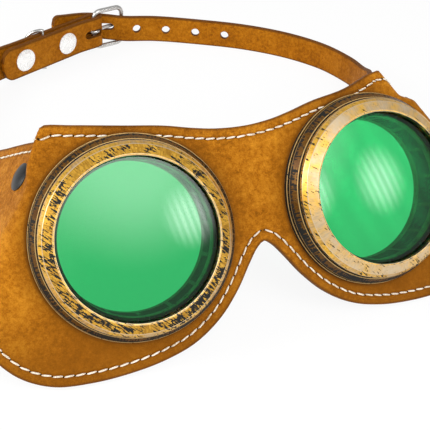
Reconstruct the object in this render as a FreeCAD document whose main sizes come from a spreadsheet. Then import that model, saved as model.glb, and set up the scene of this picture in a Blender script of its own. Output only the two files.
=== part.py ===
"""Leather strap-on goggles with two screw-ring eyecups, resting on the cheeks and the strap.

Millimetres, +Z up, the lenses look towards -Y and upwards.  The table is at z = 0.
"""
import math
import os

import FreeCAD
import Part
import Sketcher
from FreeCAD import Matrix, Placement, Rotation, Vector

doc = FreeCAD.newDocument("goggles")
sheet = doc.addObject("Spreadsheet::Sheet", "sheet")

SIZES = (
    ("lean", 34.0),
    ("toe", 3.4),
    ("front_y", 8.15),
    ("front_z", 34.55),
    ("origin_x", -6.15),
    ("origin_y", -96.4),
    ("cup_half_spacing", 40.0),
    ("leather", 1.8),
    ("lining", 1.2),
    ("fold_tilt", 35.0),
    ("fold_angle", 72.0),
    ("fold_radius", 3.0),
    ("fold_margin", 0.6),
    ("lens_radius", 25.0),
    ("lens_edge", 1.95),
    ("lens_dome", 1.6),
    ("rim_overlap", 1.0),
    ("tube_margin", 0.9),
    ("tube_wall", 3.0),
    ("tube_back", 8.2),
    ("flange_width", 5.0),
    ("flange_height", 1.6),
    ("groove_height", 1.0),
    ("groove_depth", 0.8),
    ("skirt_height", 2.6),
    ("skirt_taper", 1.6),
    ("channel_floor", 1.5),
    ("thread_gap", 0.1),
    ("gasket_height", 1.0),
    ("gasket_width", 1.5),
    ("clip_height", 0.6),
    ("sleeve_wall", 1.45),
    ("bezel_brim", 1.05),
    ("bezel_gap", 0.4),
    ("bezel_band", 1.3),
    ("bezel_chamfer", 1.1),
    ("bezel_lip", 1.55),
    ("nut_width", 3.7),
    ("nut_height", 3.0),
    ("strap_thickness", 2.0),
    ("strap_width", 12.7),
    ("buckle_strap_width", 15.0),
    ("wing_cap_radius", 4.4),
    ("strap_cap_radius", 5.1),
    ("cap_height", 0.8),
    ("cap_dome", 0.5),
    ("post_radius", 1.6),
    ("bar_radius", 1.1),
    ("frame_length", 15.0),
    ("frame_inside", 16.2),
    ("tongue_radius", 1.0),
    ("ring_radius", 9.4),
    ("ring_wire", 0.8),
    ("layer_gap", 1.8),
    ("hole_radius", 2.0),
    ("bar_x", 1.0),
    ("bar_y", 200.0),
    ("bar_z", 10.5),
)
FOLLOWING = (
    ("aperture", "=lens_radius - rim_overlap"),
    ("tube_outer", "=lens_radius + tube_margin"),
    ("tube_bore", "=tube_outer - tube_wall"),
    ("flange_radius", "=tube_outer + flange_width"),
    ("bezel_radius", "=tube_outer + thread_gap + sleeve_wall + bezel_brim"),
    ("nut_radius", "=tube_outer + nut_width"),
    ("fold_start", "=flange_radius + fold_margin"),
)
for row, (alias, value) in enumerate(SIZES + FOLLOWING, start=1):
    sheet.set("A%d" % row, alias)
    sheet.set("B%d" % row, str(value))
    sheet.setAlias("B%d" % row, alias)
doc.recompute()


def size(alias):
    """Value of one driving dimension."""
    return float(sheet.get(alias))


def placed(origin, x_axis, y_axis, z_axis):
    """Placement whose axes are the three given unit vectors."""
    return Placement(Matrix(
        x_axis.x, y_axis.x, z_axis.x, origin.x,
        x_axis.y, y_axis.y, z_axis.y, origin.y,
        x_axis.z, y_axis.z, z_axis.z, origin.z,
        0, 0, 0, 1))


def unit(vector):
    """Copy of a vector with length one."""
    return Vector(vector).normalize()


def bind(thing, **formulas):
    """Bind properties to formulas over the sheet; Z stands for the height of the object."""
    for name, formula in formulas.items():
        target = "Placement.Base.z" if name == "Z" else name
        thing.setExpression(target, formula)
    return thing


def cylinder(name, radius, height, level="0"):
    """Upright cylinder from formulas."""
    return bind(doc.addObject("Part::Cylinder", name), Radius=radius, Height=height, Z=level)


def cone(name, low, high, height, level="0"):
    """Upright frustum from formulas."""
    return bind(doc.addObject("Part::Cone", name), Radius1=low, Radius2=high, Height=height, Z=level)


def fuse(name, *shapes):
    """Union of several shapes."""
    thing = doc.addObject("Part::MultiFuse", name)
    thing.Shapes = list(shapes)
    return thing


def cut(name, base, *tools):
    """One shape less all the tools."""
    tool = tools[0] if len(tools) == 1 else fuse(name + "_tools", *tools)
    thing = doc.addObject("Part::Cut", name)
    thing.Base = base
    thing.Tool = tool
    return thing


def sketch(name, place):
    """Empty sketch at a placement."""
    thing = doc.addObject("Sketcher::SketchObject", name)
    thing.Placement = place
    return thing


def spline(points):
    """Smooth curve through plane points."""
    curve = Part.BSplineCurve()
    curve.interpolate([Vector(x, y, 0) for x, y in points])
    return curve


def line(start, end):
    """Straight edge between two plane points."""
    return Part.LineSegment(Vector(start[0], start[1], 0), Vector(end[0], end[1], 0))


def slab(name, profile, thickness, backwards):
    """Sheet of one thickness on one side of a sketch."""
    thing = doc.addObject("Part::Extrusion", name)
    thing.Base = profile
    thing.DirMode = "Normal"
    thing.Solid = True
    thing.Reversed = backwards
    return bind(thing, LengthFwd=thickness)


nodes = []
shift = Placement(Vector(size("origin_x"), size("origin_y"), 0), Rotation())


def node(thing, name, place=None):
    """Name a finished sub-part and set it in its place."""
    thing.Label = name
    thing.Placement = shift if place is None else shift * place
    nodes.append((name, thing))
    return thing


lean = Placement(Vector(0, size("front_y"), size("front_z")), Rotation(Vector(1, 0, 0), -size("lean")))
UP = Vector(0, 0, 1)


def cup_place(side):
    """Frame of one eyecup before the lean: x across, y up, z along its axis to the front."""
    toe = math.radians(size("toe"))
    axis = Vector(side * math.sin(toe), -math.cos(toe), 0)
    return placed(Vector(side * size("cup_half_spacing"), 0, 0), UP.cross(axis), UP, axis)


def fold_axes(side):
    """Directions of the front sheet: across the fold, along the fold, into the head, along the wing."""
    toe = math.radians(size("toe"))
    tilt = math.radians(size("fold_tilt"))
    angle = math.radians(size("fold_angle"))
    outward = Vector(side * math.cos(toe), math.sin(toe), 0)
    inward = Vector(-side * math.sin(toe), math.cos(toe), 0)
    across = outward * math.cos(tilt) + UP * math.sin(tilt)
    along = outward * math.sin(tilt) - UP * math.cos(tilt)
    wing = across * math.cos(angle) + inward * math.sin(angle)
    return across, along, inward, wing


def wing_place(side):
    """Frame of one wing's outer face before the lean: x back, y up the fold, z the face's normal."""
    across, along, inward, wing = fold_axes(side)
    angle = math.radians(size("fold_angle"))
    radius = size("fold_radius")
    reach = size("fold_start") + radius * math.sin(angle)
    origin = Vector(side * size("cup_half_spacing"), 0, 0)
    origin += across * reach + inward * (radius * (1 - math.cos(angle)))
    up = along * -1
    return placed(origin, wing, up, wing.cross(up))


DRAWN_FLANGE = 30.9
DRAWN_MIDDLE = -40.07
middle = -size("cup_half_spacing") / math.cos(math.radians(size("toe")))


def around_flange(points):
    """Outline points, drawn round one flange, moved out from the axis with the flange in use."""
    moved = []
    for x, y in points:
        away = 1 + (size("flange_radius") - DRAWN_FLANGE) / math.hypot(x, y)
        moved.append((x * away, y * away))
    return moved


def by_middle(points):
    """Outline points, drawn beside one middle line, moved with the middle line in use."""
    return [(x + middle - DRAWN_MIDDLE, y) for x, y in points]


# The front sheet of one half, in millimetres from the eyecup's axis.
TOP_EDGE = by_middle(((-41.5, 26.9), (-40.07, 26.9)))
TOP_EDGE += around_flange(((-31, 27.5), (-24, 28.8), (-15, 31), (-3, 33), (8, 34.9)))
LOW_EDGE = around_flange(((46.5, -25), (40, -33), (31, -37.9), (20, -39.5), (8, -39.4), (-3, -38), (-13, -35)))
LOW_EDGE += by_middle(((-22, -29.3), (-29, -22), (-34, -15), (-37.5, -10.6), (-40.07, -9), (-42.6, -10.6)))
FOLD_TOP = 35.8
FOLD_LOW = -16.45
RIVETS = ((7.0, 3.0), (7.0, -22.0))
WING_TOP = 15.5
WING_LOW = -35.5
WING_EDGE_TOP = ((0, WING_TOP), (12, 13.5), (26, 10.5), (37, 7.5), (43, 1))
WING_EDGE_LOW = ((43, 1), (39, -8), (29, -16.5), (17, -25), (6, -32), (0, WING_LOW))
TAB_TOP = ((2, 8), (14, 8.5), (28, 7.5), (40, 6.6), (48, 5.35))
TAB_LOW = ((48, -7.35), (40, -9.5), (28, -15.5), (16, -26), (2, -28))


def fold_point(height):
    """Point of the fold line at one height above the eyecup's axis."""
    tilt = math.radians(size("fold_tilt"))
    return ((size("fold_start") - height * math.sin(tilt)) / math.cos(tilt), height)


def along_fold(height):
    """Distance up the fold line from the eyecup's level."""
    x, y = fold_point(height)
    tilt = math.radians(size("fold_tilt"))
    return y * math.cos(tilt) - x * math.sin(tilt)


fold_top = along_fold(FOLD_TOP)
fold_low = along_fold(FOLD_LOW)


def front_sheet(name, thickness, depth, margin=0.0):
    """Right half of a flat sheet behind the eyecups, up to the middle and the fold."""
    place = cup_place(1)
    place.Base = place.Base + place.Rotation.multVec(Vector(0, 0, -depth))
    outline = sketch(name + "_outline", place)
    top = [(x, y - margin) for x, y in TOP_EDGE] + [fold_point(FOLD_TOP - margin)]
    low = [fold_point(FOLD_LOW + margin)] + [(x, y + margin) for x, y in LOW_EDGE]
    if margin:
        top[-1] = (top[-1][0] - margin, top[-1][1])
        low[0] = (low[0][0] - margin, low[0][1])
    outline.addGeometry(spline(top), False)
    outline.addGeometry(line(top[-1], low[0]), False)
    outline.addGeometry(spline(low), False)
    outline.addGeometry(line(low[-1], top[0]), False)
    hole = outline.addGeometry(Part.Circle(Vector(0, 0, 0), UP, size("tube_outer") + 0.2), False)
    outline.addConstraint(Sketcher.Constraint("Coincident", hole, 3, -1, 1))
    radius = outline.addConstraint(Sketcher.Constraint("Radius", hole, size("tube_outer") + 0.2))
    outline.setExpression("Constraints[%d]" % radius, "sheet.tube_outer + 0.2")
    plate = slab(name + "_plate", outline, thickness, True)
    other_half = doc.addObject("Part::Box", name + "_other_half")
    other_half.Length = 20
    other_half.Width = 40
    other_half.Height = 160
    other_half.Placement.Base = Vector(-20, -20, -80)
    return cut(name + "_half", plate, other_half)


def mirrored(name, source):
    """Reflection of a shape in the middle plane."""
    thing = doc.addObject("Part::Mirroring", name)
    thing.Source = source
    thing.Normal = Vector(1, 0, 0)
    thing.Base = Vector(0, 0, 0)
    return thing


def wing_fold(name):
    """Bend between the right front and the right wing, trimmed along the brow."""
    across, along, inward, wing = fold_axes(1)
    radius = size("fold_radius")
    centre = Vector(size("cup_half_spacing"), 0, 0) + across * size("fold_start") + inward * radius
    foot = centre + along * -fold_low
    place = placed(foot, inward * -1, across, along * -1)
    outer = cylinder(name + "_outer", "sheet.fold_radius", "%f" % (fold_top - fold_low))
    inner = cylinder(name + "_inner", "sheet.fold_radius - sheet.leather", "%f" % (fold_top - fold_low + 2))
    for shape in (outer, inner):
        bind(shape, Angle="sheet.fold_angle")
        shape.setExpression("Placement.Base.z", None)
        shape.Placement = place
    inner.Angle = 360
    inner.setExpression("Angle", None)
    inner.Placement = placed(foot + along, inward * -1, across, along * -1)
    bend = cut(name + "_bend", outer, inner)
    angle = math.radians(size("fold_angle"))
    trims = []
    for word, front_end, wing_end, beyond in (("top", fold_top, WING_TOP, -1), ("low", fold_low, WING_LOW, 1)):
        start = centre + inward * -radius + along * -front_end
        end = centre + across * (radius * math.sin(angle)) - inward * (radius * math.cos(angle)) + along * -wing_end
        run = unit(end - start)
        outside = across * math.sin(angle / 2) - inward * math.cos(angle / 2)
        normal = unit(run.cross(outside))
        if normal.dot(along) * beyond < 0:
            normal = normal * -1
        outside = unit(normal.cross(run))
        trim = doc.addObject("Part::Box", "%s_trim_%s" % (name, word))
        trim.Length = 40
        trim.Width = 60
        trim.Height = 30
        trim.Placement = placed(start - run * 15 - outside * 30, run, outside, normal)
        trims.append(trim)
    return cut(name + "_trimmed", bend, *trims)


def wing_outline(name, place, top, low):
    """Closed outline between a top and a low edge on the wing's plane."""
    outline = sketch(name, place)
    outline.addGeometry(spline(top), False)
    if top[-1] != low[0]:
        outline.addGeometry(line(top[-1], low[0]), False)
    outline.addGeometry(spline(low), False)
    outline.addGeometry(line(low[-1], top[0]), False)
    return outline


def rivet_holes(name, side, radius):
    """Two cylinders through a wing and its tab."""
    holes = []
    for number, (x, y) in enumerate(RIVETS, start=1):
        hole = cylinder("%s_hole_%d" % (name, number), radius, "40")
        hole.setExpression("Placement.Base.z", None)
        hole.Placement = wing_place(side) * Placement(Vector(x, y, -20), Rotation())
        holes.append(hole)
    return holes


# Mask: two flat fronts, two folds and two wings in one sheet, with a flat lining behind.
front = front_sheet("front", "sheet.leather", 0.0)
fold = wing_fold("fold")
wing = slab("wing", wing_outline("wing_outline", wing_place(1), WING_EDGE_TOP, WING_EDGE_LOW), "sheet.leather", True)
half = fuse("mask_half_solid", front, fold, wing)
half = cut("mask_half", half, *rivet_holes("wing", 1, "sheet.post_radius + 0.1"))
node(fuse("mask_outer_solid", half, mirrored("mask_other_half", half)), "mask_outer", lean)

lining = front_sheet("lining", "sheet.lining", size("leather"), 1.6)
node(fuse("mask_lining_solid", lining, mirrored("lining_other_half", lining)), "mask_lining", lean)


def eyecup(side, word):
    """Base, nut, gasket, clip, lens and bezel of one eyecup."""
    place = lean * cup_place(side)
    top = "sheet.flange_height + sheet.groove_height + sheet.skirt_height"
    flange = cylinder("flange_" + word, "sheet.flange_radius", "sheet.flange_height")
    groove = cylinder("groove_" + word, "sheet.flange_radius - sheet.groove_depth",
                      "sheet.groove_height", "sheet.flange_height")
    skirt = cone("skirt_" + word, "sheet.flange_radius - 0.3", "sheet.flange_radius - 0.3 - sheet.skirt_taper",
                 "sheet.skirt_height", "sheet.flange_height + sheet.groove_height")
    tube = cylinder("tube_" + word, "sheet.tube_outer", "sheet.tube_back", "-sheet.tube_back")
    channel = cylinder("channel_" + word, "sheet.tube_outer + sheet.sleeve_wall + 0.35", "20", "sheet.channel_floor")
    core = cylinder("core_" + word, "sheet.tube_outer", "30", "-5")
    bore = cylinder("bore_" + word, "sheet.tube_bore", "60", "-30")
    body = fuse("base_body_" + word, flange, groove, skirt, tube)
    node(cut("base_" + word, body, cut("channel_ring_" + word, channel, core), bore), "eyecup_base_" + word, place)

    behind = "-sheet.leather - sheet.lining - sheet.nut_height"
    nut_body = cylinder("nut_body_" + word, "sheet.nut_radius", "sheet.nut_height", behind)
    nut_bore = cylinder("nut_bore_" + word, "sheet.tube_outer + sheet.thread_gap", "60", "-30")
    notches = []
    for number in range(6):
        notch = cylinder("notch_%d_%s" % (number, word), "1.6", "60", "-30")
        notch.setExpression("Placement.Base.x", "sheet.nut_radius * cos(%d deg)" % (60 * number))
        notch.setExpression("Placement.Base.y", "sheet.nut_radius * sin(%d deg)" % (60 * number))
        notches.append(notch)
    node(cut("nut_" + word, nut_body, nut_bore, *notches), "back_nut_" + word, place)

    gasket_body = cylinder("gasket_body_" + word, "sheet.tube_bore + sheet.gasket_width", "sheet.gasket_height", top)
    gasket_bore = cylinder("gasket_bore_" + word, "sheet.tube_bore + 0.1", "60", "-30")
    node(cut("gasket_solid_" + word, gasket_body, gasket_bore), "gasket_" + word, place)

    seat = top + " + sheet.gasket_height"
    clip_body = cylinder("clip_body_" + word, "sheet.tube_outer", "sheet.clip_height", seat + " - sheet.clip_height")
    clip_bore = cylinder("clip_bore_" + word, "sheet.tube_bore + sheet.gasket_width + 0.2", "60", "-30")
    clip_gap = doc.addObject("Part::Box", "clip_gap_" + word)
    clip_gap.Length = 6
    clip_gap.Width = 40
    clip_gap.Height = 60
    clip_gap.Placement.Base = Vector(-3, -40, -30)
    node(cut("clip_" + word, clip_body, clip_bore, clip_gap), "lens_clip_" + word, place)

    blank = cylinder("lens_blank_" + word, "sheet.lens_radius", "sheet.lens_edge + sheet.lens_dome + 1", seat)
    ball = doc.addObject("Part::Sphere", "lens_ball_" + word)
    squares = "sheet.lens_radius * sheet.lens_radius + sheet.lens_dome * sheet.lens_dome"
    ball_radius = "(%s) / (2 * sheet.lens_dome)" % squares
    bind(ball, Radius=ball_radius, Z="%s + sheet.lens_edge + sheet.lens_dome - %s" % (seat, ball_radius))
    lens = doc.addObject("Part::MultiCommon", "lens_solid_" + word)
    lens.Shapes = [blank, ball]
    node(lens, "lens_" + word, place)

    foot = top + " + sheet.bezel_gap"
    lip = seat + " + sheet.lens_edge + 0.25"
    band_top = foot + " + sheet.bezel_band"
    side_top = lip
    sleeve = cylinder("sleeve_" + word, "sheet.tube_outer + sheet.thread_gap + sheet.sleeve_wall",
                      "%s - sheet.channel_floor - 0.3" % foot, "sheet.channel_floor + 0.3")
    band = cylinder("band_" + word, "sheet.bezel_radius", "sheet.bezel_band", foot)
    chamfer = cone("chamfer_" + word, "sheet.bezel_radius", "sheet.bezel_radius - sheet.bezel_chamfer",
                   "%s - (%s)" % (side_top, band_top), band_top)
    face = cone("face_" + word, "sheet.bezel_radius - sheet.bezel_chamfer", "sheet.aperture + 0.5",
                "sheet.bezel_lip", side_top)
    thread = cylinder("thread_" + word, "sheet.tube_outer + sheet.thread_gap", "%s + 30.15" % seat, "-30")
    pocket = cylinder("pocket_" + word, "sheet.lens_radius + 0.3", "%s + 30" % lip, "-30")
    window = cylinder("window_" + word, "sheet.aperture", "80", "-30")
    body = fuse("bezel_body_" + word, sleeve, band, chamfer, face)
    node(cut("bezel_solid_" + word, body, thread, pocket, window), "bezel_" + word, place)


eyecup(1, "right")
eyecup(-1, "left")


def rivet(name, label, cap, post, length, place):
    """Double-cap rivet: the post starts at z = 0 and runs down, one cap over each end."""
    stem = cylinder(name + "_stem", post, "%s + 0.4" % length, "-(%s) - 0.2" % length)
    rim = cylinder(name + "_rim", cap, "sheet.cap_height", "0")
    dome = cone(name + "_dome", cap, cap + " - 0.9", "sheet.cap_dome", "sheet.cap_height")
    back_rim = cylinder(name + "_back_rim", cap, "sheet.cap_height", "-(%s) - sheet.cap_height" % length)
    back_dome = cone(name + "_back_dome", cap + " - 0.9", cap, "sheet.cap_dome",
                     "-(%s) - sheet.cap_height - sheet.cap_dome" % length)
    return node(fuse(name, stem, rim, dome, back_rim, back_dome), label, place)


for side, word in ((1, "right"), (-1, "left")):
    for (x, y), level in zip(RIVETS, ("upper", "lower")):
        turn = Rotation() if side > 0 else Rotation(Vector(1, 0, 0), 180)
        place = lean * wing_place(side) * Placement(Vector(x, y, 0), turn)
        rivet("wing_rivet_%s_%s_solid" % (word, level), "wing_rivet_%s_%s" % (word, level),
              "sheet.wing_cap_radius", "sheet.post_radius", "sheet.leather + sheet.strap_thickness", place)


def section(name, place, width, thickness="sheet.strap_thickness"):
    """Rectangle across a strap: x through the strap, y across its width."""
    outline = sketch(name, place)
    corners = ((-1, -5), (1, -5), (1, 5), (-1, 5))
    for number in range(4):
        outline.addGeometry(line(corners[number], corners[(number + 1) % 4]), False)
    for number in range(4):
        outline.addConstraint(Sketcher.Constraint("Coincident", number, 2, (number + 1) % 4, 1))
    outline.addConstraint(Sketcher.Constraint("Horizontal", 0))
    outline.addConstraint(Sketcher.Constraint("Vertical", 1))
    outline.addConstraint(Sketcher.Constraint("Horizontal", 2))
    outline.addConstraint(Sketcher.Constraint("Vertical", 3))
    outline.addConstraint(Sketcher.Constraint("Symmetric", 0, 1, 1, 2, -1, 1))
    across = outline.addConstraint(Sketcher.Constraint("DistanceX", 0, 1, 0, 2, 2.0))
    upward = outline.addConstraint(Sketcher.Constraint("DistanceY", 1, 1, 1, 2, 10.0))
    outline.setExpression("Constraints[%d]" % across, thickness)
    outline.setExpression("Constraints[%d]" % upward, width)
    return outline


def ribbon(name, stations, width):
    """Strap through stations of (centre, upward direction)."""
    sections = []
    last = len(stations) - 1
    for number, (centre, up) in enumerate(stations):
        ahead = stations[min(number + 1, last)][0]
        behind = stations[max(number - 1, 0)][0]
        run = unit(ahead - behind)
        upright = unit(up - run * up.dot(run))
        place = placed(centre, upright.cross(run), upright, run)
        sections.append(section("%s_section_%d" % (name, number), place, width))
    thing = doc.addObject("Part::Loft", name)
    thing.Sections = sections
    thing.Solid = True
    thing.Ruled = False
    return thing


def strap_tab(name, side):
    """Wide end of a strap on the inner face of a wing, riveted to it."""
    place = wing_place(side)
    place.Base = place.Base + place.Rotation.multVec(Vector(0, 0, -side * size("leather")))
    outline = wing_outline(name + "_outline", lean * place, TAB_TOP, TAB_LOW)
    tab = slab(name, outline, "sheet.strap_thickness", side > 0)
    holes = rivet_holes(name, side, "sheet.post_radius + 0.1")
    for hole in holes:
        hole.Placement = lean * hole.Placement
    return cut(name + "_punched", tab, *holes)


def tab_station(side, back, up):
    """Centre and upward direction of a strap where it lies in the plane of its wing."""
    place = lean * wing_place(side)
    depth = -side * (size("leather") + size("strap_thickness") / 2)
    return place.multVec(Vector(back, up, depth)), place.Rotation.multVec(UP.cross(Vector(1, 0, 0)))


bar = Vector(size("bar_x"), size("bar_y"), size("bar_z"))
heading = math.radians(26.6)
strap_x = Vector(math.cos(heading), math.sin(heading), 0)
strap_y = Vector(-math.sin(heading), math.cos(heading), 0)
buckle = placed(bar, strap_x, strap_y, UP)


def by_bar(x, y, z=0.0):
    """Point beside the buckle bar: x along the buckle strap, y away from the head, z up."""
    return buckle.multVec(Vector(x, y, z))


layer = size("bar_radius") + 0.4 + size("strap_thickness") / 2
flap_y = layer - size("strap_thickness") - size("layer_gap")


def leaning(side, share):
    """Upward direction between upright and the wing's own."""
    wing_up = tab_station(side, 0, 0)[1]
    return unit(UP * (1 - share) + wing_up * share)


# Buckle strap: from the left wing to the bar, round it, and back along the head side.
left_stations = [
    tab_station(-1, 46, -1.0),
    tab_station(-1, 54, -1.0),
    (Vector(-87, 96, 19.5), leaning(-1, 0.5)),
    (Vector(-88.5, 115, 12.8), leaning(-1, 0.2)),
    (Vector(-84, 134, 9.4), leaning(-1, 0.05)),
    (Vector(-72.5, 153.5, 8.7), UP),
    (by_bar(-64, layer - 1.3, -0.8), UP),
    (by_bar(-57.5, layer, 0), UP),
    (by_bar(-55, layer, 0), UP),
]
outer_layer = ribbon("buckle_strap_layer", left_stations, "sheet.buckle_strap_width")


def straight(name, start, end, y):
    """Flat length of the buckle strap, parallel to its run into the buckle."""
    thing = doc.addObject("Part::Box", name)
    thing.Length = end - start
    bind(thing, Width="sheet.strap_thickness", Height="sheet.buckle_strap_width")
    corner = by_bar(start, y - size("strap_thickness") / 2, -size("buckle_strap_width") / 2)
    thing.Placement = placed(corner, strap_x, strap_y, UP)
    return thing


flap_bend = ribbon("flap_bend", [
    (by_bar(0.3, -layer), UP),
    (by_bar(-1.5, -layer), UP),
    (by_bar(-6, (flap_y - layer) / 2), UP),
    (by_bar(-11, flap_y), UP),
    (by_bar(-12.5, flap_y), UP),
], "sheet.buckle_strap_width")
flap = fuse("flap", straight("flap_end", -56, -12.5, flap_y), flap_bend)
outer_run = straight("buckle_strap_run", -55, 0.3, layer)
turn_outer = cylinder("turn_outer", "sheet.bar_radius + 0.4 + sheet.strap_thickness", "sheet.buckle_strap_width")
turn_inner = cylinder("turn_inner", "sheet.bar_radius + 0.4", "sheet.buckle_strap_width + 2")
for shape, drop in ((turn_outer, 0.0), (turn_inner, 1.0)):
    shape.setExpression("Placement.Base.z", None)
    foot = by_bar(0, 0, -size("buckle_strap_width") / 2 - drop)
    shape.Placement = placed(foot, strap_y * -1, strap_x, UP)
turn_outer.Angle = 180
turn = cut("turn", turn_outer, turn_inner)
tongue_slot = doc.addObject("Part::Box", "tongue_slot")
tongue_slot.Length = 13
tongue_slot.Width = 10
tongue_slot.Height = 3.6
tongue_slot.Placement = placed(by_bar(-8, -5, -1.8), strap_x, strap_y, UP)
RIVET_X = (-19.0, -44.0)
strap_holes = []
for number, x in enumerate(RIVET_X, start=1):
    hole = cylinder("strap_rivet_hole_%d" % number, "sheet.post_radius + 0.1", "12")
    hole.setExpression("Placement.Base.z", None)
    hole.Placement = placed(by_bar(x, -6), strap_x, UP * -1, strap_y)
    strap_holes.append(hole)
strap_left = fuse("strap_left_solid", strap_tab("tab_left", -1), outer_layer, outer_run, turn, flap)
node(cut("strap_left", strap_left, tongue_slot, *strap_holes), "buckle_strap")

for x, word in zip(RIVET_X, ("near", "far")):
    face = layer + size("strap_thickness") / 2
    place = placed(by_bar(x, face), strap_x, UP * -1, strap_y)
    rivet("strap_rivet_%s_solid" % word, "strap_rivet_" + word, "sheet.strap_cap_radius", "sheet.post_radius",
          "2 * sheet.strap_thickness + sheet.layer_gap", place)

# Punched strap: from the right wing round the back, through the buckle, to the tip outside.
flat = size("strap_width") / 2 + 0.1
beyond = layer + size("strap_thickness")
behind = size("bar_radius") + size("strap_thickness") / 2 + 0.371172
dip_x = size("frame_length") * math.cos(math.radians(14.0)) - 0.954436
dip_y = size("frame_length") * -math.sin(math.radians(14.0)) - behind
rise_x = (dip_x + beyond - 1.0) / 2 - 0.05
rise_y = (dip_y + beyond - 1.0) / 2
right_stations = [
    tab_station(1, 46, -1.0),
    tab_station(1, 54, -1.0),
    (Vector(88.5, 96, 19.3), leaning(1, 0.5)),
    (Vector(97, 114.5, 11.6), leaning(1, 0.2)),
    (Vector(102.5, 131, 7.6), leaning(1, 0.03)),
    (Vector(99.5, 148, flat), UP),
    (Vector(88.5, 164, flat), UP),
    (Vector(72, 179, flat), UP),
    (Vector(51, 191.5, flat + 0.2), UP),
    (Vector(31.5, 198.6, flat + 1.4), UP),
    (by_bar(dip_x, dip_y, -1.4), UP),
    (by_bar(rise_x, rise_y, -0.6), UP),
    (by_bar(beyond - 1.0, beyond - 1.0, 0.1), UP),
    (by_bar(-1.5, beyond + 1.3, 1.0), UP),
    (by_bar(-7, beyond + 2.1, 2.0), UP),
    (by_bar(-13.5, beyond + 2.2, 3.3), UP),
    (by_bar(-20, beyond + 2.3, 4.8), UP),
]
long_layer = ribbon("punched_layer", right_stations, "sheet.strap_width")
punches = []
PUNCHED = ((Vector(22.5, 200.6, 8.8), Vector(0.15, 1, 0)), (Vector(36.8, 197.1, 7.5), Vector(0.32, 1, 0)),
           (Vector(50.6, 191.7, 6.7), Vector(0.5, 1, 0)), (Vector(63.6, 184.7, 6.5), Vector(0.6, 1, 0)),
           (by_bar(-14, beyond + 2.3, 3.4), strap_y))
for number, (point, outward) in enumerate(PUNCHED, start=1):
    punch = cylinder("punch_%d" % number, "sheet.hole_radius", "12")
    punch.setExpression("Placement.Base.z", None)
    outward = unit(outward)
    punch.Placement = placed(point - outward * 6, UP.cross(outward) * -1, UP, outward)
    punches.append(punch)
prong_slot = doc.addObject("Part::Box", "prong_slot")
prong_slot.Length = 9.8
prong_slot.Width = 16
prong_slot.Height = 3.4
lie = math.radians(26.6 - 43.0)
prong_x = Vector(math.cos(lie), math.sin(lie), 0)
prong_y = Vector(-math.sin(lie), math.cos(lie), 0)
slot_middle = by_bar(rise_x - 0.6, rise_y + 0.5, -1.7)
prong_slot.Placement = placed(slot_middle - prong_x * 6.4 - prong_y * 8, prong_x, prong_y, UP)
strap_right = fuse("strap_right_solid", strap_tab("tab_right", 1), long_layer)
node(cut("strap_right", strap_right, prong_slot, *punches), "punched_strap")

# Buckle: a bar in the turned-back strap, two sides, a far bar and a tongue.
swing = math.radians(26.6 - 14.0)
frame_x = Vector(math.cos(swing), math.sin(swing), 0)
frame_y = Vector(-math.sin(swing), math.cos(swing), 0)
frame_place = placed(bar, frame_x, frame_y, UP)
reach = "sheet.frame_inside / 2 + sheet.bar_radius"
heel = cylinder("heel", "sheet.bar_radius", "2 * (%s)" % reach, "-(%s)" % reach)
far_bar = cylinder("far_bar", "sheet.bar_radius", "2 * (%s)" % reach, "-(%s)" % reach)
bind(far_bar, **{"Placement.Base.x": "sheet.frame_length"})
sides = []
for number, sign in enumerate((1, -1), start=1):
    rail = doc.addObject("Part::Cylinder", "rail_%d" % number)
    rail.Placement.Rotation = Rotation(Vector(0, 1, 0), 90)
    length = "sheet.frame_length + 2 * sheet.bar_radius"
    bind(rail, Radius="sheet.bar_radius", Height=length, Z="%d * (%s)" % (sign, reach))
    rail.setExpression("Placement.Base.x", "-sheet.bar_radius")
    sides.append(rail)
node(fuse("frame_solid", heel, far_bar, *sides), "buckle_frame", frame_place)

rest = size("bar_radius") + size("tongue_radius") + 0.15
prong_run = unit(Vector(size("frame_length"), rest, 0))
loop_outer = cylinder("tongue_loop_outer", "sheet.bar_radius + 0.25 + 1.0", "2.4", "-1.2")
loop_inner = cylinder("tongue_loop_inner", "sheet.bar_radius + 0.1", "10", "-5")
prong = doc.addObject("Part::Cylinder", "prong")
bind(prong, Radius="sheet.tongue_radius", Height="sheet.frame_length + 1.6 - sheet.bar_radius - 0.4")
start = prong_run * (size("bar_radius") + 0.4)
prong.Placement = placed(start, UP, prong_run.cross(UP), prong_run)
node(cut("tongue_solid", fuse("tongue_body", loop_outer, prong), loop_inner), "buckle_tongue", frame_place)

# Keeper D-ring: the straight leg is caught between the two layers, the bow lies outside.
leg_y = layer - size("strap_thickness") / 2 - size("layer_gap") / 2
drop = math.radians(26.6 + 180.0 - 46.0)
ring_x = Vector(math.cos(drop), math.sin(drop), 0)
ring_y = Vector(-math.sin(drop), math.cos(drop), 0)
ring_place = placed(by_bar(-31.0, leg_y), ring_x, ring_y, UP)
leg = cylinder("leg", "sheet.ring_wire", "2 * sheet.ring_radius", "-sheet.ring_radius")
bow = doc.addObject("Part::Torus", "bow")
bind(bow, Radius1="sheet.ring_radius", Radius2="sheet.ring_wire")
bow.Angle3 = 180
bow.Placement = placed(Vector(0, 0, 0), UP * -1, Vector(1, 0, 0), Vector(0, -1, 0))
node(fuse("keeper_solid", leg, bow), "keeper_ring", ring_place)

doc.recompute()
for thing in doc.Objects:
    if "Invalid" in thing.State or "Error" in thing.State:
        raise RuntimeError("%s could not be computed" % thing.Name)
os.makedirs("parts", exist_ok=True)
for name, thing in nodes:
    shape = thing.Shape
    if shape.isNull() or not shape.isValid() or len(shape.Solids) != 1:
        raise RuntimeError("%s is not one valid solid" % name)
    shape.exportStep("parts/%s.step" % name)
    box = shape.optimalBoundingBox()
    print("%-24s volume %9.1f  x %7.1f %7.1f  y %7.1f %7.1f  z %6.1f %6.1f" % (
        name, shape.Volume, box.XMin, box.XMax, box.YMin, box.YMax, box.ZMin, box.ZMax))
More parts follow.
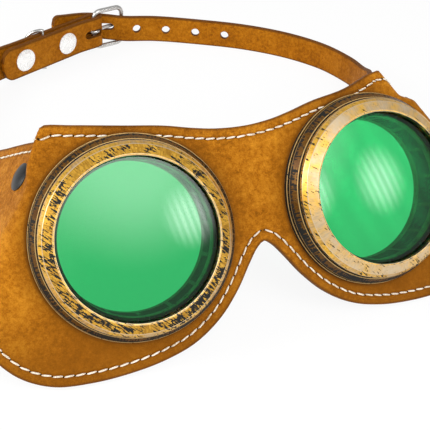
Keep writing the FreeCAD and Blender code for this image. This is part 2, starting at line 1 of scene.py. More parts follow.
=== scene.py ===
"""Leather strap-on goggles with green lenses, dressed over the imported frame."""
import logging
import math
from contextlib import contextmanager
from dataclasses import dataclass, field
from enum import Enum
from functools import lru_cache
from typing import Callable, Iterator, Sequence

import bpy
from mathutils import Matrix, Vector
from mathutils.kdtree import KDTree


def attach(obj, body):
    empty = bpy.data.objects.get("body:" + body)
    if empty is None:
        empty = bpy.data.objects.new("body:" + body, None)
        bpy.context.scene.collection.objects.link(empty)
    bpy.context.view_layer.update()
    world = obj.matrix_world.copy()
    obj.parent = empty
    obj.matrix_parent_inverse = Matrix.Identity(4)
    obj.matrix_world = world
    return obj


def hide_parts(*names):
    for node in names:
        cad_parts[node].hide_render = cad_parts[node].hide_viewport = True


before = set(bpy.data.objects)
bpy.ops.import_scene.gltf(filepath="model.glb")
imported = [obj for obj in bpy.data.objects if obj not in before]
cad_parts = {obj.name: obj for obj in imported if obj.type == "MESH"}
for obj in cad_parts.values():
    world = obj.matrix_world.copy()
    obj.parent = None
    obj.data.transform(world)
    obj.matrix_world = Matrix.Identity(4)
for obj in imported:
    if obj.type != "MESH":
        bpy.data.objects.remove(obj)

MM = 0.001
TINY = 1e-9
UP = Vector((0, 0, 1))
Point = tuple[float, float]
Triple = tuple[float, float, float]
Colour = tuple[float, float, float]
Socket = bpy.types.NodeSocket
Thing = bpy.types.Object
Material = bpy.types.Material
log = logging.getLogger("goggles")


class Side(Enum):
    """The two halves of the goggles, as the wearer's mask lies in the row frame."""

    LEFT = -1
    RIGHT = 1

    @property
    def word(self) -> str:
        """Word used in the names of this side's nodes."""
        return self.name.lower()


# Curves


def meet(one: Vector, two: Vector, low: float, high: float, spot: float) -> Vector:
    """Point on the line through two, which it reaches where a number is low and high."""
    return one * ((high - spot) / (high - low)) + two * ((spot - low) / (high - low))


def through(points: Sequence[Vector], count: int, before: Vector | None = None,
            after: Vector | None = None) -> list[Vector]:
    """Even points on a smooth curve through the given ones.

    Args:
        points: points of any dimension that the curve passes through.
        count: number of points wanted.
        before: point that sets the direction at the start.
        after: point that sets the direction at the end.

    Returns:
        Points evenly spaced along the curve, ends included.
    """
    first = before if before is not None else points[0] * 2 - points[1]
    last = after if after is not None else points[-1] * 2 - points[-2]
    run = [first, *points, last]
    pieces = 16
    dense: list[Vector] = []
    for one, two, three, four in zip(run, run[1:], run[2:], run[3:]):
        start = max((two - one).length, TINY) ** 0.5
        end = start + max((three - two).length, TINY) ** 0.5
        far = end + max((four - three).length, TINY) ** 0.5
        for step in range(pieces):
            spot = start + (end - start) * step / pieces
            left = meet(one, two, 0, start, spot)
            middle = meet(two, three, start, end, spot)
            right = meet(three, four, end, far, spot)
            early = meet(left, middle, 0, end, spot)
            late = meet(middle, right, start, far, spot)
            dense.append(meet(early, late, start, end, spot))
    dense.append(points[-1].copy())
    return evenly(dense, count)


def even_places(marks: Sequence[float], count: int) -> list[float]:
    """Places that are evenly spaced along a rising row of lengths.

    Args:
        marks: lengths from the start, one for each place.
        count: number of places wanted.

    Returns:
        The places as broken numbers.
    """
    result = []
    place = 0
    for number in range(count):
        want = marks[-1] * number / (count - 1)
        while place < len(marks) - 2 and marks[place + 1] < want:
            place += 1
        span = max(marks[place + 1] - marks[place], TINY)
        result.append(place + min(max((want - marks[place]) / span, 0.0), 1.0))
    return result


def evenly(points: Sequence[Vector], count: int) -> list[Vector]:
    """Resample a polyline.

    Args:
        points: corners of the polyline.
        count: number of points wanted.

    Returns:
        Points evenly spaced along it, ends included.
    """
    marks = [0.0]
    for one, two in zip(points, points[1:]):
        marks.append(marks[-1] + (two - one).length)
    result = []
    for place in even_places(marks, count):
        low = min(int(place), len(points) - 2)
        result.append(points[low].lerp(points[low + 1], place - low))
    return result


def ease(value: float) -> float:
    """Smooth step from 0 to 1."""
    value = min(max(value, 0.0), 1.0)
    return value * value * (3 - 2 * value)


def fade(value: float, span: Point) -> float:
    """Smooth step from 0 to 1, from a start and over a length after it."""
    start, length = span
    return ease((value - start) / length)


def sweep(start: float, turn: float, steps: int) -> list[float]:
    """Angles in radians from a start through a turn, both in degrees."""
    return [math.radians(start + turn * step / steps) for step in range(steps + 1)]


def dome(radius: float, rise: float, steps: int) -> list[Point]:
    """Profile of a round cap.

    Args:
        radius: radius of its edge.
        rise: height of its middle over its edge.
        steps: straight lengths of the profile.

    Returns:
        Distances from the axis and heights, from the edge to the middle.
    """
    ball = (radius ** 2 + rise ** 2) / (2 * rise)
    spans = [radius * (1 - step / steps) for step in range(steps + 1)]
    return [(span, math.sqrt(ball ** 2 - span ** 2) - (ball - rise)) for span in spans]


def axes_at(x: Vector, y: Vector, z: Vector, place: Vector | Triple) -> Matrix:
    """Matrix with the given directions of its axes at the given place."""
    rows = [(x[i], y[i], z[i], place[i]) for i in range(3)]
    return Matrix((*rows, (0, 0, 0, 1)))


# Modelling moves


class Bench:
    """Modelling moves shared by all pieces."""

    @staticmethod
    def clear() -> None:
        """Leave edit mode and deselect everything."""
        if bpy.context.object and bpy.context.object.mode != "OBJECT":
            bpy.ops.object.mode_set(mode="OBJECT")
        bpy.ops.object.select_all(action="DESELECT")

    @staticmethod
    def pick(thing: Thing) -> None:
        """Make one object the only selected and active one.

        Args:
            thing: object that is picked.
        """
        Bench.clear()
        thing.select_set(True)
        bpy.context.view_layer.objects.active = thing

    @staticmethod
    def named(name: str) -> Thing:
        """Name the active object and its data.

        Args:
            name: new name of both.

        Returns:
            The object.
        """
        thing = bpy.context.object
        thing.name = name
        thing.data.name = name
        return thing

    @staticmethod
    def placed(name: str, data: bpy.types.ID) -> Thing:
        """Set data into the scene as a new object.

        Args:
            name: name of the object.
            data: curve, camera or light that it holds.

        Returns:
            The object.
        """
        thing = bpy.data.objects.new(name, data)
        bpy.context.collection.objects.link(thing)
        return thing

    @staticmethod
    def apply(thing: Thing, kind: str, **settings: object) -> None:
        """Add a modifier and apply it.

        Args:
            thing: object that is changed.
            kind: type of the modifier.
            settings: values of the modifier.
        """
        Bench.pick(thing)
        change = thing.modifiers.new(kind.lower(), kind)
        for name, value in settings.items():
            setattr(change, name, value)
        bpy.ops.object.modifier_apply(modifier=change.name)

    @staticmethod
    def soften(thing: Thing, degrees: float = 40.0) -> None:
        """Shade smooth up to an angle between faces."""
        Bench.pick(thing)
        bpy.ops.object.shade_smooth_by_angle(angle=math.radians(degrees))

    @staticmethod
    @contextmanager
    def editing(thing: Thing) -> Iterator[None]:
        """Edit one object with all of its mesh selected.

        Args:
            thing: object that is edited.

        Returns:
            Context in which the object is in edit mode.
        """
        Bench.pick(thing)
        bpy.ops.object.mode_set(mode="EDIT")
        bpy.ops.mesh.select_all(action="SELECT")
        yield
        bpy.ops.object.mode_set(mode="OBJECT")

    @staticmethod
    def tidy(thing: Thing, gap: float = 1e-6) -> None:
        """Merge doubles and turn all faces outwards.

        Args:
            thing: object that is tidied.
            gap: distance within which points are merged.
        """
        with Bench.editing(thing):
            bpy.ops.mesh.remove_doubles(threshold=gap)
            bpy.ops.mesh.dissolve_degenerate(threshold=gap)
            bpy.ops.mesh.select_all(action="SELECT")
            bpy.ops.mesh.normals_make_consistent(inside=False)

    @staticmethod
    def draped(name: str, columns: int, rows: int, place: Callable[[int, int], Vector]) -> Thing:
        """Grid whose every vertex is moved to its place.

        Args:
            name: name of the object.
            columns: vertices across the grid.
            rows: vertices up the grid.
            place: row-frame position in metres of a column and row.

        Returns:
            The sheet, one face thick.
        """
        Bench.clear()
        bpy.ops.mesh.primitive_grid_add(x_subdivisions=columns - 1, y_subdivisions=rows - 1, size=2)
        sheet = Bench.named(name)
        for vertex in sheet.data.vertices:
            column = round((vertex.co.x + 1) / 2 * (columns - 1))
            row = round((vertex.co.y + 1) / 2 * (rows - 1))
            vertex.co = place(column, row)
        sheet.data.update()
        return sheet

    @staticmethod
    def lengthwise(name: str, thing: Thing, values: Sequence[float]) -> None:
        """Keep one number for each vertex under a name that a finish can read."""
        layer = thing.data.attributes.new(name, "FLOAT", "POINT")
        layer.data.foreach_set("value", list(values))

    @staticmethod
    def thicken(sheet: Thing, thickness: float, offset: float, even: bool) -> None:
        """Give a sheet its thickness and rounded edges.

        Args:
            sheet: sheet, one face thick.
            thickness: thickness in metres.
            offset: -1 to grow behind the sheet, 0 to grow to both sides of it.
            even: whether the thickness is kept through bends.
        """
        Bench.apply(sheet, "SOLIDIFY", thickness=thickness, offset=offset, use_even_offset=even,
                    use_quality_normals=True)
        Bench.apply(sheet, "BEVEL", width=0.5 * MM, segments=3, limit_method="ANGLE",
                    angle_limit=math.radians(50))

    @staticmethod
    def wire(name: str, path: Sequence[Vector], radius: float, closed: bool) -> Thing:
        """Round wire along a path, made from a curve.

        Args:
            name: name of the object.
            path: row-frame points in metres.
            radius: radius of the wire in metres.
            closed: whether the wire returns to its start.

        Returns:
            The wire as a mesh.
        """
        Bench.clear()
        curve = bpy.data.curves.new(name, "CURVE")
        curve.dimensions = "3D"
        curve.bevel_depth = radius
        curve.bevel_resolution = 5
        curve.use_fill_caps = True
        line = curve.splines.new("POLY")
        line.points.add(len(path) - 1)
        for knot, point in zip(line.points, path):
            knot.co = (*point, 1.0)
        line.use_cyclic_u = closed
        thing = Bench.placed(name, curve)
        Bench.pick(thing)
        bpy.ops.object.convert(target="MESH")
        Bench.tidy(thing)
        return thing

    @staticmethod
    def join(name: str, things: Sequence[Thing]) -> Thing:
        """Join several meshes into one object.

        Args:
            name: name of the joined object.
            things: meshes to join.

        Returns:
            The joined object.
        """
        Bench.pick(things[0])
        for thing in things:
            thing.select_set(True)
        bpy.ops.object.join()
        return Bench.named(name)


@dataclass(frozen=True)
class Corner:
    """One corner of a turned profile, and the darkness of the finish on the length that follows it, which
    carries painted light in places.

    Attributes:
        r: distance from the axis, mm.
        z: height along the axis, mm.
        round: radius of the rounded corner, mm.
        patina: darkness of the length up to the next corner, 0 to 1, or more where dark pockets are painted
            in as shade; a low value on the right cup's sloping face paints a highlight.
    """

    r: float
    z: float
    round: float = 0.2
    patina: float = 0.5


class Turned:
    """A ring or disc turned from a rounded profile.

    Attributes:
        steps: facets round the axis.
        arc_steps: facets of one rounded corner.
        most: largest share of an edge that a rounded corner takes up.
        blur: length beside a rounded corner over which the darkness changes, mm.
    """

    steps = 180
    arc_steps = 4
    most = 0.45
    blur = 0.12

    def __init__(self, name: str, corners: Sequence[Corner], closed: bool = True) -> None:
        """Keep the profile.

        Args:
            name: name of the piece.
            corners: corners of the profile in order, outside on the right of the run.
            closed: whether the profile is a loop; an open one starts and ends on the axis.
        """
        self.name = name
        self.corners = list(corners)
        self.closed = closed
        self.points: list[tuple[float, float, float, float]] = []
        self.trace()

    def trace(self) -> None:
        """Round the corners and note the darkness, with its painted light, and the run at each point of the
        profile.
        """
        count = len(self.corners)
        bare: list[tuple[Vector, float]] = []
        for number, corner in enumerate(self.corners):
            here = Vector((corner.r, corner.z))
            ends = not self.closed and number in (0, count - 1)
            behind = self.corners[number - 1]
            ahead = self.corners[(number + 1) % count]
            if ends or corner.round <= 0:
                bare.append((here, corner.patina))
                continue
            back = Vector((behind.r, behind.z)) - here
            on = Vector((ahead.r, ahead.z)) - here
            half = back.angle(on) / 2
            longest = self.most * min(back.length, on.length)
            reach = min(corner.round / max(math.tan(half), TINY), longest)
            start = here + back.normalized() * reach
            end = here + on.normalized() * reach
            turn = back.x * on.y - back.y * on.x
            worn = 0.0 if turn < 0 else 1.0
            blur = min(self.blur, reach)
            bare.append((start + back.normalized() * blur, behind.patina))
            for step in range(self.arc_steps + 1):
                share = step / self.arc_steps
                one = start.lerp(here, share)
                two = here.lerp(end, share)
                bare.append((one.lerp(two, share), worn))
            bare.append((end + on.normalized() * blur, corner.patina))
        run = 0.0
        last = bare[0][0]
        for point, patina in bare:
            run += (point - last).length
            last = point
            self.points.append((point.x, point.y, patina, run))

    def build(self, place: Matrix) -> Thing:
        """Spin the profile and set it in its place.

        Args:
            place: row-frame matrix of the axis, in millimetres.

        Returns:
            The turned piece, with its pattern kept on its vertices.
        """
        Bench.clear()
        count = len(self.points)
        bpy.ops.mesh.primitive_circle_add(vertices=count, radius=1, fill_type="NOTHING")
        piece = Bench.named(self.name)
        for vertex, (r, z, _, _) in zip(piece.data.vertices, self.points):
            vertex.co = (r, 0, z)
        bpy.ops.object.mode_set(mode="EDIT")
        if not self.closed:
            bpy.ops.mesh.select_all(action="DESELECT")
            bpy.ops.object.mode_set(mode="OBJECT")
            for edge in piece.data.edges:
                edge.select = set(edge.vertices) == {0, count - 1}
            bpy.ops.object.mode_set(mode="EDIT")
            bpy.ops.mesh.select_mode(type="EDGE")
            bpy.ops.mesh.delete(type="EDGE")
            bpy.ops.mesh.select_mode(type="VERT")
        bpy.ops.mesh.select_all(action="SELECT")
        bpy.ops.mesh.spin(steps=self.steps, angle=math.tau, center=(0, 0, 0), axis=(0, 0, 1),
                          use_auto_merge=True)
        bpy.ops.object.mode_set(mode="OBJECT")
        Bench.tidy(piece, 1e-5)
        self.mark(piece)
        piece.data.transform(Matrix.Scale(MM, 4) @ place)
        Bench.soften(piece, 50)
        return piece

    def mark(self, piece: Thing) -> None:
        """Keep each vertex's darkness, with the painted light it carries, and its turn and run for patterns
        that follow the turning.

        Args:
            piece: turned piece, before it is set in its place.
        """
        known = {(round(r, 3), round(z, 3)): (patina, run) for r, z, patina, run in self.points}
        patina_and_painted_light_layer = piece.data.attributes.new("patina", "FLOAT", "POINT")
        turning = piece.data.attributes.new("turning", "FLOAT_VECTOR", "POINT")
        for vertex in piece.data.vertices:
            r = math.hypot(vertex.co.x, vertex.co.y)
            key = (round(r, 3), round(vertex.co.z, 3))
            if key not in known:
                key = min(known, key=lambda spot: abs(spot[0] - r) + abs(spot[1] - vertex.co.z))
            patina, run = known[key]
            patina_and_painted_light_layer.data[vertex.index].value = patina
            span = max(r, 1e-6)
            turning.data[vertex.index].vector = (vertex.co.x / span, vertex.co.y / span, run)


# Finishes


class Desk:
    """Node tree of a material, a lamp or the world, with short ways to add and join nodes."""

    def __init__(self, owner: Material | bpy.types.Light | bpy.types.World) -> None:
        """Switch on the nodes of their owner.

        Args:
            owner: material, lamp or world.
        """
        owner.use_nodes = True
        self.owner = owner
        self.tree = owner.node_tree

    @classmethod
    def blank(cls, name: str) -> "Desk":
        """Start a material without nodes.

        Args:
            name: name of the material.

        Returns:
            Its desk.
        """
        desk = cls(bpy.data.materials.new(name))
        desk.tree.nodes.clear()
        return desk

    def add(self, kind: str, inputs: dict | None = None, **settings: object) -> bpy.types.Node:
        """Add a node.

        Args:
            kind: type of the node, without its common prefix.
            inputs: sockets by name or number, with a value or another node's socket.
            settings: properties of the node.

        Returns:
            The node.
        """
        node = self.tree.nodes.new("ShaderNode" + kind)
        for name, value in settings.items():
            setattr(node, name, value)
        for name, value in (inputs or {}).items():
            self.plug(node, name, value)
        return node

    def plug(self, node: bpy.types.Node, name: str | int, value: object) -> None:
        """Set a socket to a value, or link another socket to it.

        Args:
            node: node that has the socket.
            name: name or number of the socket.
            value: number, vector, colour or another node's socket.
        """
        socket = node.inputs[name]
        if isinstance(value, Socket):
            self.tree.links.new(value, socket)
        elif socket.type == "RGBA":
            socket.default_value = (*value, 1.0)
        else:
            socket.default_value = value

    def math(self, operation: str, one: object, two: object = 0.0) -> Socket:
        """Result of a sum on one or two values."""
        return self.add("Math", {0: one, 1: two}, operation=operation).outputs[0]

    def blend(self, *parts: tuple[object, float]) -> Socket:
        """Sum of values that each have a weight.

        Args:
            parts: values and their weights.

        Returns:
            The sum.
        """
        total = None
        for value, weight in parts:
            part = self.math("MULTIPLY", value, weight)
            total = part if total is None else self.math("ADD", total, part)
        return total

    def noise(self, vector: object, scale: float, detail: float = 3.0, rough: float = 0.5) -> Socket:
        """Grey noise on a vector."""
        node = self.add("TexNoise", {"Vector": vector, "Scale": scale, "Detail": detail, "Roughness": rough})
        return node.outputs["Fac"]

    def ramp(self, value: object, *stops: tuple[float, Colour]) -> Socket:
        """Colours along a value.

        Args:
            value: number from 0 to 1.
            stops: places and their colours, in order.

        Returns:
            The colour.
        """
        node = self.add("ValToRGB", {"Fac": value})
        band = node.color_ramp
        while len(band.elements) < len(stops):
            band.elements.new(0.5)
        for element, (spot, colour) in zip(band.elements, stops):
            element.position = spot
            element.color = (*colour, 1.0)
        return node.outputs["Color"]

    def between(self, value: object, low: float, high: float, start: float = 0.0,
                end: float = 1.0) -> Socket:
        """Value eased from one range to another and held at its ends.

        Args:
            value: number that is eased.
            low: start of its range.
            high: end of its range.
            start: result at the start.
            end: result at the end.

        Returns:
            The eased number.
        """
        node = self.add("MapRange", {"Value": value, "From Min": low, "From Max": high, "To Min": start,
                                     "To Max": end}, interpolation_type="SMOOTHSTEP")
        return node.outputs["Result"]

    def mix(self, share: object, one: object, two: object) -> Socket:
        """Mix of two colours."""
        return self.add("Mix", {0: share, 6: one, 7: two}, data_type="RGBA").outputs[2]

    def attribute(self, name: str, output: str = "Fac") -> Socket:
        """Number or vector kept on the piece's vertices."""
        return self.add("Attribute", attribute_name=name).outputs[output]

    def place(self) -> Socket:
        """Position on the piece in metres."""
        return self.add("TexCoord").outputs["Object"]

    def bump(self, height: object, strength: float, depth: float, under: object | None = None) -> Socket:
        """Surface direction from a height.

        Args:
            height: height of the surface.
            strength: share of it that shows.
            depth: length of one unit of height, metres.
            under: direction of the surface that carries it, if not plain.

        Returns:
            The surface direction.
        """
        inputs = {"Height": height, "Strength": strength, "Distance": depth}
        if under is not None:
            inputs["Normal"] = under
        return self.add("Bump", inputs).outputs["Normal"]

    def cover(self, shader: Socket) -> Material:
        """End a material with a shader on its surface."""
        self.add("OutputMaterial", {"Surface": shader})
        return self.owner

    def dress(self, **sockets: object) -> Material:
        """End a material with one shader, whose sockets are named with underscores for spaces."""
        inputs = {name.replace("_", " "): value for name, value in sockets.items()}
        return self.cover(self.add("BsdfPrincipled", inputs).outputs["BSDF"])


@dataclass(frozen=True)
class LeatherFinish:
    """Waxed orange-brown leather with mottling, fine scratches and pores.

    Attributes:
        name: name of the material.
        dark: colour in the deepest patches, also of the painted shade.
        middle: main colour.
        light: colour where the wax has pulled.
        cut: colour of the cut edge, also of the painted shadow right at the brass.
        groove: distance of the sewn groove from the edge, metres, or 0 for none; painted shade darkens it.
        cheek: painted shade, darkening the leather towards the bottom, near the table.
        eye: radius of the brass round which the leather is darkened, metres, or 0 for none; the darkening is
            partly painted shadow where the leather meets the brass and partly leather blackened by the brass.
        mottle: scale, roughness and weight of each layer of the mottling.
        scores: turn and stretch of each set of fine scratches.
    """

    name: str
    dark: Colour = (0.190, 0.060, 0.0025)
    middle: Colour = (0.360, 0.121, 0.005)
    light: Colour = (0.540, 0.215, 0.013)
    cut: Colour = (0.115, 0.038, 0.006)
    groove: float = 0.0031
    cheek: float = 0.75
    eye: float = 0.0310
    mottle: tuple[Triple, ...] = ((42.0, 0.55, 0.20), (190.0, 0.60, 0.22), (760.0, 0.65, 0.28),
                                 (2600.0, 0.70, 0.30))
    scores: tuple[tuple[Triple, Triple], ...] = (
        ((0.3, 0.5, 0.9), (45, 2600, 900)),
        ((0.8, -0.4, -0.5), (2300, 40, 900)),
        ((0.1, 0.2, 1.35), (2400, 60, 1000)),
    )

    def tone(self, desk: Desk, spot: Socket) -> Socket:
        """Mottling from broad patches down to single fibres."""
        layers = [(desk.noise(spot, scale, 5.0, rough), weight) for scale, rough, weight in self.mottle]
        return desk.blend(*layers)

    def scratches(self, desk: Desk, spot: Socket) -> Socket:
        """Fine lines in several directions, in groups.

        Args:
            desk: desk of the material.
            spot: position on the piece.

        Returns:
            1 on the lines and 0 beside them.
        """
        total = 0.0
        for turn, stretch in self.scores:
            node = desk.add("Mapping", {"Vector": spot, "Rotation": turn, "Scale": stretch})
            line = desk.between(desk.noise(node.outputs[0], 1.0, 2.0), 0.66, 0.73)
            total = desk.math("MAXIMUM", total, line)
        groups = desk.between(desk.noise(spot, 85.0, 2.0), 0.46, 0.62)
        return desk.math("MULTIPLY", total, groups)

    def make(self) -> Material:
        """Build the material.

        Returns:
            The material.
        """
        desk = Desk.blank(self.name)
        spot = desk.place()
        tone = self.tone(desk, spot)
        colour = desk.ramp(tone, (0.405, self.dark), (0.50, self.middle), (0.60, self.light))
        scratch = self.scratches(desk, spot)
        colour = desk.mix(desk.math("MULTIPLY", scratch, 0.34), colour, self.light)
        height = desk.add("SeparateXYZ", {0: spot}).outputs["Z"]
        specks = desk.noise(spot, 1900.0, 2.0, 0.7)
        rim = desk.attribute("rim")
        # Painted shade: the leather is darkened towards the bottom, by its height over the table.
        stains_and_shade = [(height, 0.002, 0.028, self.cheek, 0.0, self.dark)]
        # Round the brass the leather is darkened: a thin band of painted shadow where it meets the eyecup,
        # and a wider band that is partly painted shade and partly leather blackened by the brass.
        if self.eye:
            near = desk.attribute("eye")
            stains_and_shade.append((near, self.eye, self.eye + 0.0014, 0.85, 0.0, self.cut))
            stains_and_shade.append((near, self.eye, self.eye + 0.0075, 0.45, 0.0, self.dark))
        stains_and_shade.append((specks, 0.60, 0.74, 0.0, 0.45, self.dark))
        stains_and_shade.append((rim, 0.0002, 0.0010, 0.85, 0.0, self.cut))
        for source, low, high, start, end, tint in stains_and_shade:
            colour = desk.mix(desk.between(source, low, high, start, end), colour, tint)
        pores = desk.add("TexVoronoi", {"Vector": spot, "Scale": 1250.0, "Randomness": 1.0},
                         feature="DISTANCE_TO_EDGE").outputs["Distance"]
        grain = desk.blend((desk.between(pores, 0.0, 0.25), 1.0), (specks, 0.9))
        normal = desk.bump(grain, 0.22, 0.00022)
        normal = desk.bump(tone, 0.35, 0.0009, normal)
        normal = desk.bump(desk.math("MULTIPLY", scratch, -1.0), 0.12, 0.0002, normal)
        if self.groove:
            off = desk.math("ABSOLUTE", desk.math("SUBTRACT", rim, self.groove))
            dip = desk.between(off, 0.0002, 0.0009)
            # Painted shade along the sewn groove.
            colour = desk.mix(desk.between(off, 0.0002, 0.0009, 0.5, 0.0), colour, self.dark)
            normal = desk.bump(dip, 0.5, 0.0005, normal)
        gloss = desk.between(tone, 0.42, 0.60, 0.62, 0.46)
        return desk.dress(Base_Color=colour, Roughness=gloss, Normal=normal, Specular_IOR_Level=0.10,
                          Specular_Tint=(1.0, 0.72, 0.38))


@dataclass(frozen=True)
class BrassFinish:
    """Antique brass with black brushed into it, worn bright on the edges.

    Attributes:
        name: name of the material.
        brush: strength of the marks left by one pass of the brush over the whole ring.
        radial: strength of the marks that run across the ring.
        tangent: strength of the marks that run round the ring.
        metal: share of metal where the brass is bare.
        worn: colour of the rubbed edges, and of the painted highlight on the right cup's sloping face.
        bright: colour of bare brass.
        brown: colour of aged brass.
        black: colour of the brushed-in black, also of the painted shade towards the bottom of each ring and
            in the pockets.
        pockets: number of dark cells painted round the inside of the cup, as painted shade of pockets that
            are not modelled.
        ring: radius at which the brushed marks have their size, mm.
        ways: directions along the stroke, across it and out of the face.
    """

    name: str
    brush: float = 2.8
    radial: float = 1.1
    tangent: float = 0.5
    metal: float = 0.6
    worn: Colour = (0.62, 0.50, 0.34)
    bright: Colour = (0.76, 0.43, 0.055)
    brown: Colour = (0.38, 0.185, 0.020)
    black: Colour = (0.012, 0.012, 0.010)
    pockets: int = 15
    ring: float = 27.0
    ways: tuple[Triple, ...] = ((0.707, -0.395, -0.586), (0.707, 0.395, 0.586), (0.0, -0.829, 0.559))

    def brushed(self, desk: Desk, turning: Socket, around: float, across: float) -> Socket:
        """Noise that follows the ring.

        Args:
            desk: desk of the material.
            turning: turn and run on the piece.
            around: size of the marks round the ring, mm.
            across: size of the marks across it, mm.

        Returns:
            Noise about zero.
        """
        size = (self.ring / around, self.ring / around, 1.0 / across)
        node = desk.add("VectorMath", {0: turning, 1: size}, operation="MULTIPLY")
        return desk.math("SUBTRACT", desk.noise(node.outputs["Vector"], 1.0, 3.0, 0.6), 0.5)

    def stroked(self, desk: Desk, along: float, across: float, out: float) -> Socket:
        """Noise drawn out in one direction over the whole ring.

        Args:
            desk: desk of the material.
            along: size of the marks along the stroke, mm.
            across: size of the marks across it, mm.
            out: size of the marks out of the face, mm.

        Returns:
            Noise about zero.
        """
        spot = desk.place()
        parts = []
        for way, size in zip(self.ways, (along, across, out)):
            reach = tuple(part / size / MM for part in way)
            node = desk.add("VectorMath", {0: spot, 1: reach}, operation="DOT_PRODUCT")
            parts.append(node.outputs["Value"])
        place = desk.add("CombineXYZ", dict(enumerate(parts))).outputs[0]
        return desk.math("SUBTRACT", desk.noise(place, 1.0, 3.0, 0.6), 0.5)

    def make(self) -> Material:
        """Build the material.

        Returns:
            The material.
        """
        desk = Desk.blank(self.name)
        turning = desk.attribute("turning", "Vector")
        patina = desk.attribute("patina")
        radial = self.brushed(desk, turning, 0.5, 2.4)
        tangent = self.brushed(desk, turning, 8.0, 0.55)
        clumps = self.brushed(desk, turning, 5.0, 5.0)
        strokes = self.stroked(desk, 3.2, 0.55, 2.0)
        flat = desk.add("SeparateXYZ", {0: turning}).outputs
        # The Y term puts more black towards the bottom of each ring and less towards the top: painted shade
        # below, lighter above.
        marks = desk.blend((radial, self.radial), (tangent, self.tangent), (clumps, 1.6),
                           (strokes, self.brush), (flat["Y"], -0.15))
        # Painted pockets: a brass web over the darkest band leaves dark cells between, as painted shade of
        # pockets that are not modelled.
        turn = desk.math("MULTIPLY", desk.math("ARCTAN2", flat["Y"], flat["X"]), self.pockets / math.tau)
        web = desk.between(desk.math("PINGPONG", turn, 0.5), 0.05, 0.08, 1.3, 0.0)
        web = desk.math("MULTIPLY", web, desk.between(patina, 1.2, 1.35))
        marks = desk.math("SUBTRACT", marks, web)
        cover = desk.between(desk.math("ADD", patina, marks), 0.53, 0.60)
        age = desk.blend((clumps, 0.8), (radial, 0.9))
        brass = desk.ramp(desk.math("ADD", age, 0.5), (0.30, self.brown), (0.58, self.bright))
        # Rubbed edges, and the painted highlight on the right cup's sloping face.
        edge = desk.between(desk.blend((patina, 1.0), (clumps, 0.4)), 0.02, 0.24, 0.9, 0.0)
        brass = desk.mix(edge, brass, self.worn)
        colour = desk.mix(cover, brass, self.black)
        metal = desk.between(cover, 0.0, 1.0, self.metal, 0.0)
        rough = desk.blend((desk.between(cover, 0.0, 1.0, 0.36, 0.6), 1.0), (tangent, 0.12))
        height = desk.blend((radial, 0.5), (cover, -1.0))
        normal = desk.bump(height, 0.25, 0.00012)
        return desk.dress(Base_Color=colour, Metallic=metal, Roughness=rough, Normal=normal,
                          Specular_IOR_Level=0.2)


@dataclass(frozen=True)
class MetalFinish:
    """Plain metal with fine scratches and slightly uneven polish.

    Attributes:
        name: name of the material.
        colour: colour of the metal.
        shade: colour of the duller patches.
        metallic: share of metal in the surface.
        rough: roughness of the polished places.
    """

    name: str
    colour: Colour
    shade: Colour
    metallic: float
    rough: float

    def make(self) -> Material:
        """Build the material.

        Returns:
            The material.
        """
        desk = Desk.blank(self.name)
        spot = desk.place()
        patches = desk.noise(spot, 240.0, 4.0, 0.6)
        lines = desk.add("Mapping", {"Vector": spot, "Rotation": (0.5, 0.2, 0.7), "Scale": (150, 4000, 1500)})
        hair = desk.noise(lines.outputs[0], 1.0, 2.0)
        share = desk.blend((patches, 0.7), (hair, 0.3))
        colour = desk.ramp(share, (0.36, self.shade), (0.60, self.colour))
        rough = desk.between(patches, 0.3, 0.7, self.rough, self.rough + 0.16)
        normal = desk.bump(hair, 0.02, 0.0001)
        return desk.dress(Base_Color=colour, Metallic=self.metallic, Roughness=rough, Normal=normal)


@dataclass(frozen=True)
class GlassFinish:
    """Thin clear green glass, which bends the light little, with a polished face.

    Attributes:
        name: name of the material.
        colour: tint of the glass.
    """

    name: str = "green_lens_glass"
    colour: Colour = (0.026, 0.500, 0.140)

    def make(self) -> Material:
        """Build the material, with a faint unevenness in the polish.

        Returns:
            The material.
        """
        desk = Desk.blank(self.name)
        haze = desk.noise(desk.place(), 60.0, 3.0)
        rough = desk.between(haze, 0.35, 0.70, 0.010, 0.030)
        return desk.dress(Base_Color=self.colour, Roughness=0.0, IOR=1.02, Transmission_Weight=1.0,
                          Coat_Weight=1.0, Coat_IOR=1.5, Coat_Roughness=rough)


@dataclass(frozen=True)
class ThreadFinish:
    """Waxed white sewing thread with the lay of its strands.

    Attributes:
        name: name of the material.
        pale: colour of the raised strands.
        shade: colour between the strands.
    """

    name: str = "white_thread"
    pale: Colour = (0.84, 0.77, 0.64)
    shade: Colour = (0.50, 0.38, 0.22)

    def make(self) -> Material:
        """Build the material.

        Returns:
            The material.
        """
        desk = Desk.blank(self.name)
        spot = desk.place()
        strands = desk.noise(spot, 2600.0, 2.0)
        soil = desk.noise(spot, 160.0, 3.0)
        share = desk.blend((strands, 0.6), (soil, 0.4))
        colour = desk.ramp(share, (0.36, self.shade), (0.54, self.pale))
        return desk.dress(Base_Color=colour, Roughness=0.75, Normal=desk.bump(strands, 0.3, 0.0002))


@dataclass(frozen=True)
class RubberFinish:
    """Dull dark rubber.

    Attributes:
        name: name of the material.
        colour: colour of the rubber.
    """

    name: str = "black_rubber"
    colour: Colour = (0.02, 0.02, 0.02)

    def make(self) -> Material:
        """Build the material.

        Returns:
            The material.
        """
        desk = Desk.blank(self.name)
        bloom = desk.noise(desk.place(), 700.0, 3.0)
        colour = desk.ramp(bloom, (0.3, self.colour), (0.75, tuple(2.6 * part for part in self.colour)))
        return desk.dress(Base_Color=colour, Roughness=0.8, Normal=desk.bump(bloom, 0.1, 0.0002))


PLAIN = {"groove": 0.0, "cheek": 0.0, "eye": 0.0}


def made(make: Callable[[], Material]) -> Material:
    """Dataclass field for a material, which is made with the rest of its set."""
    return field(default_factory=make)


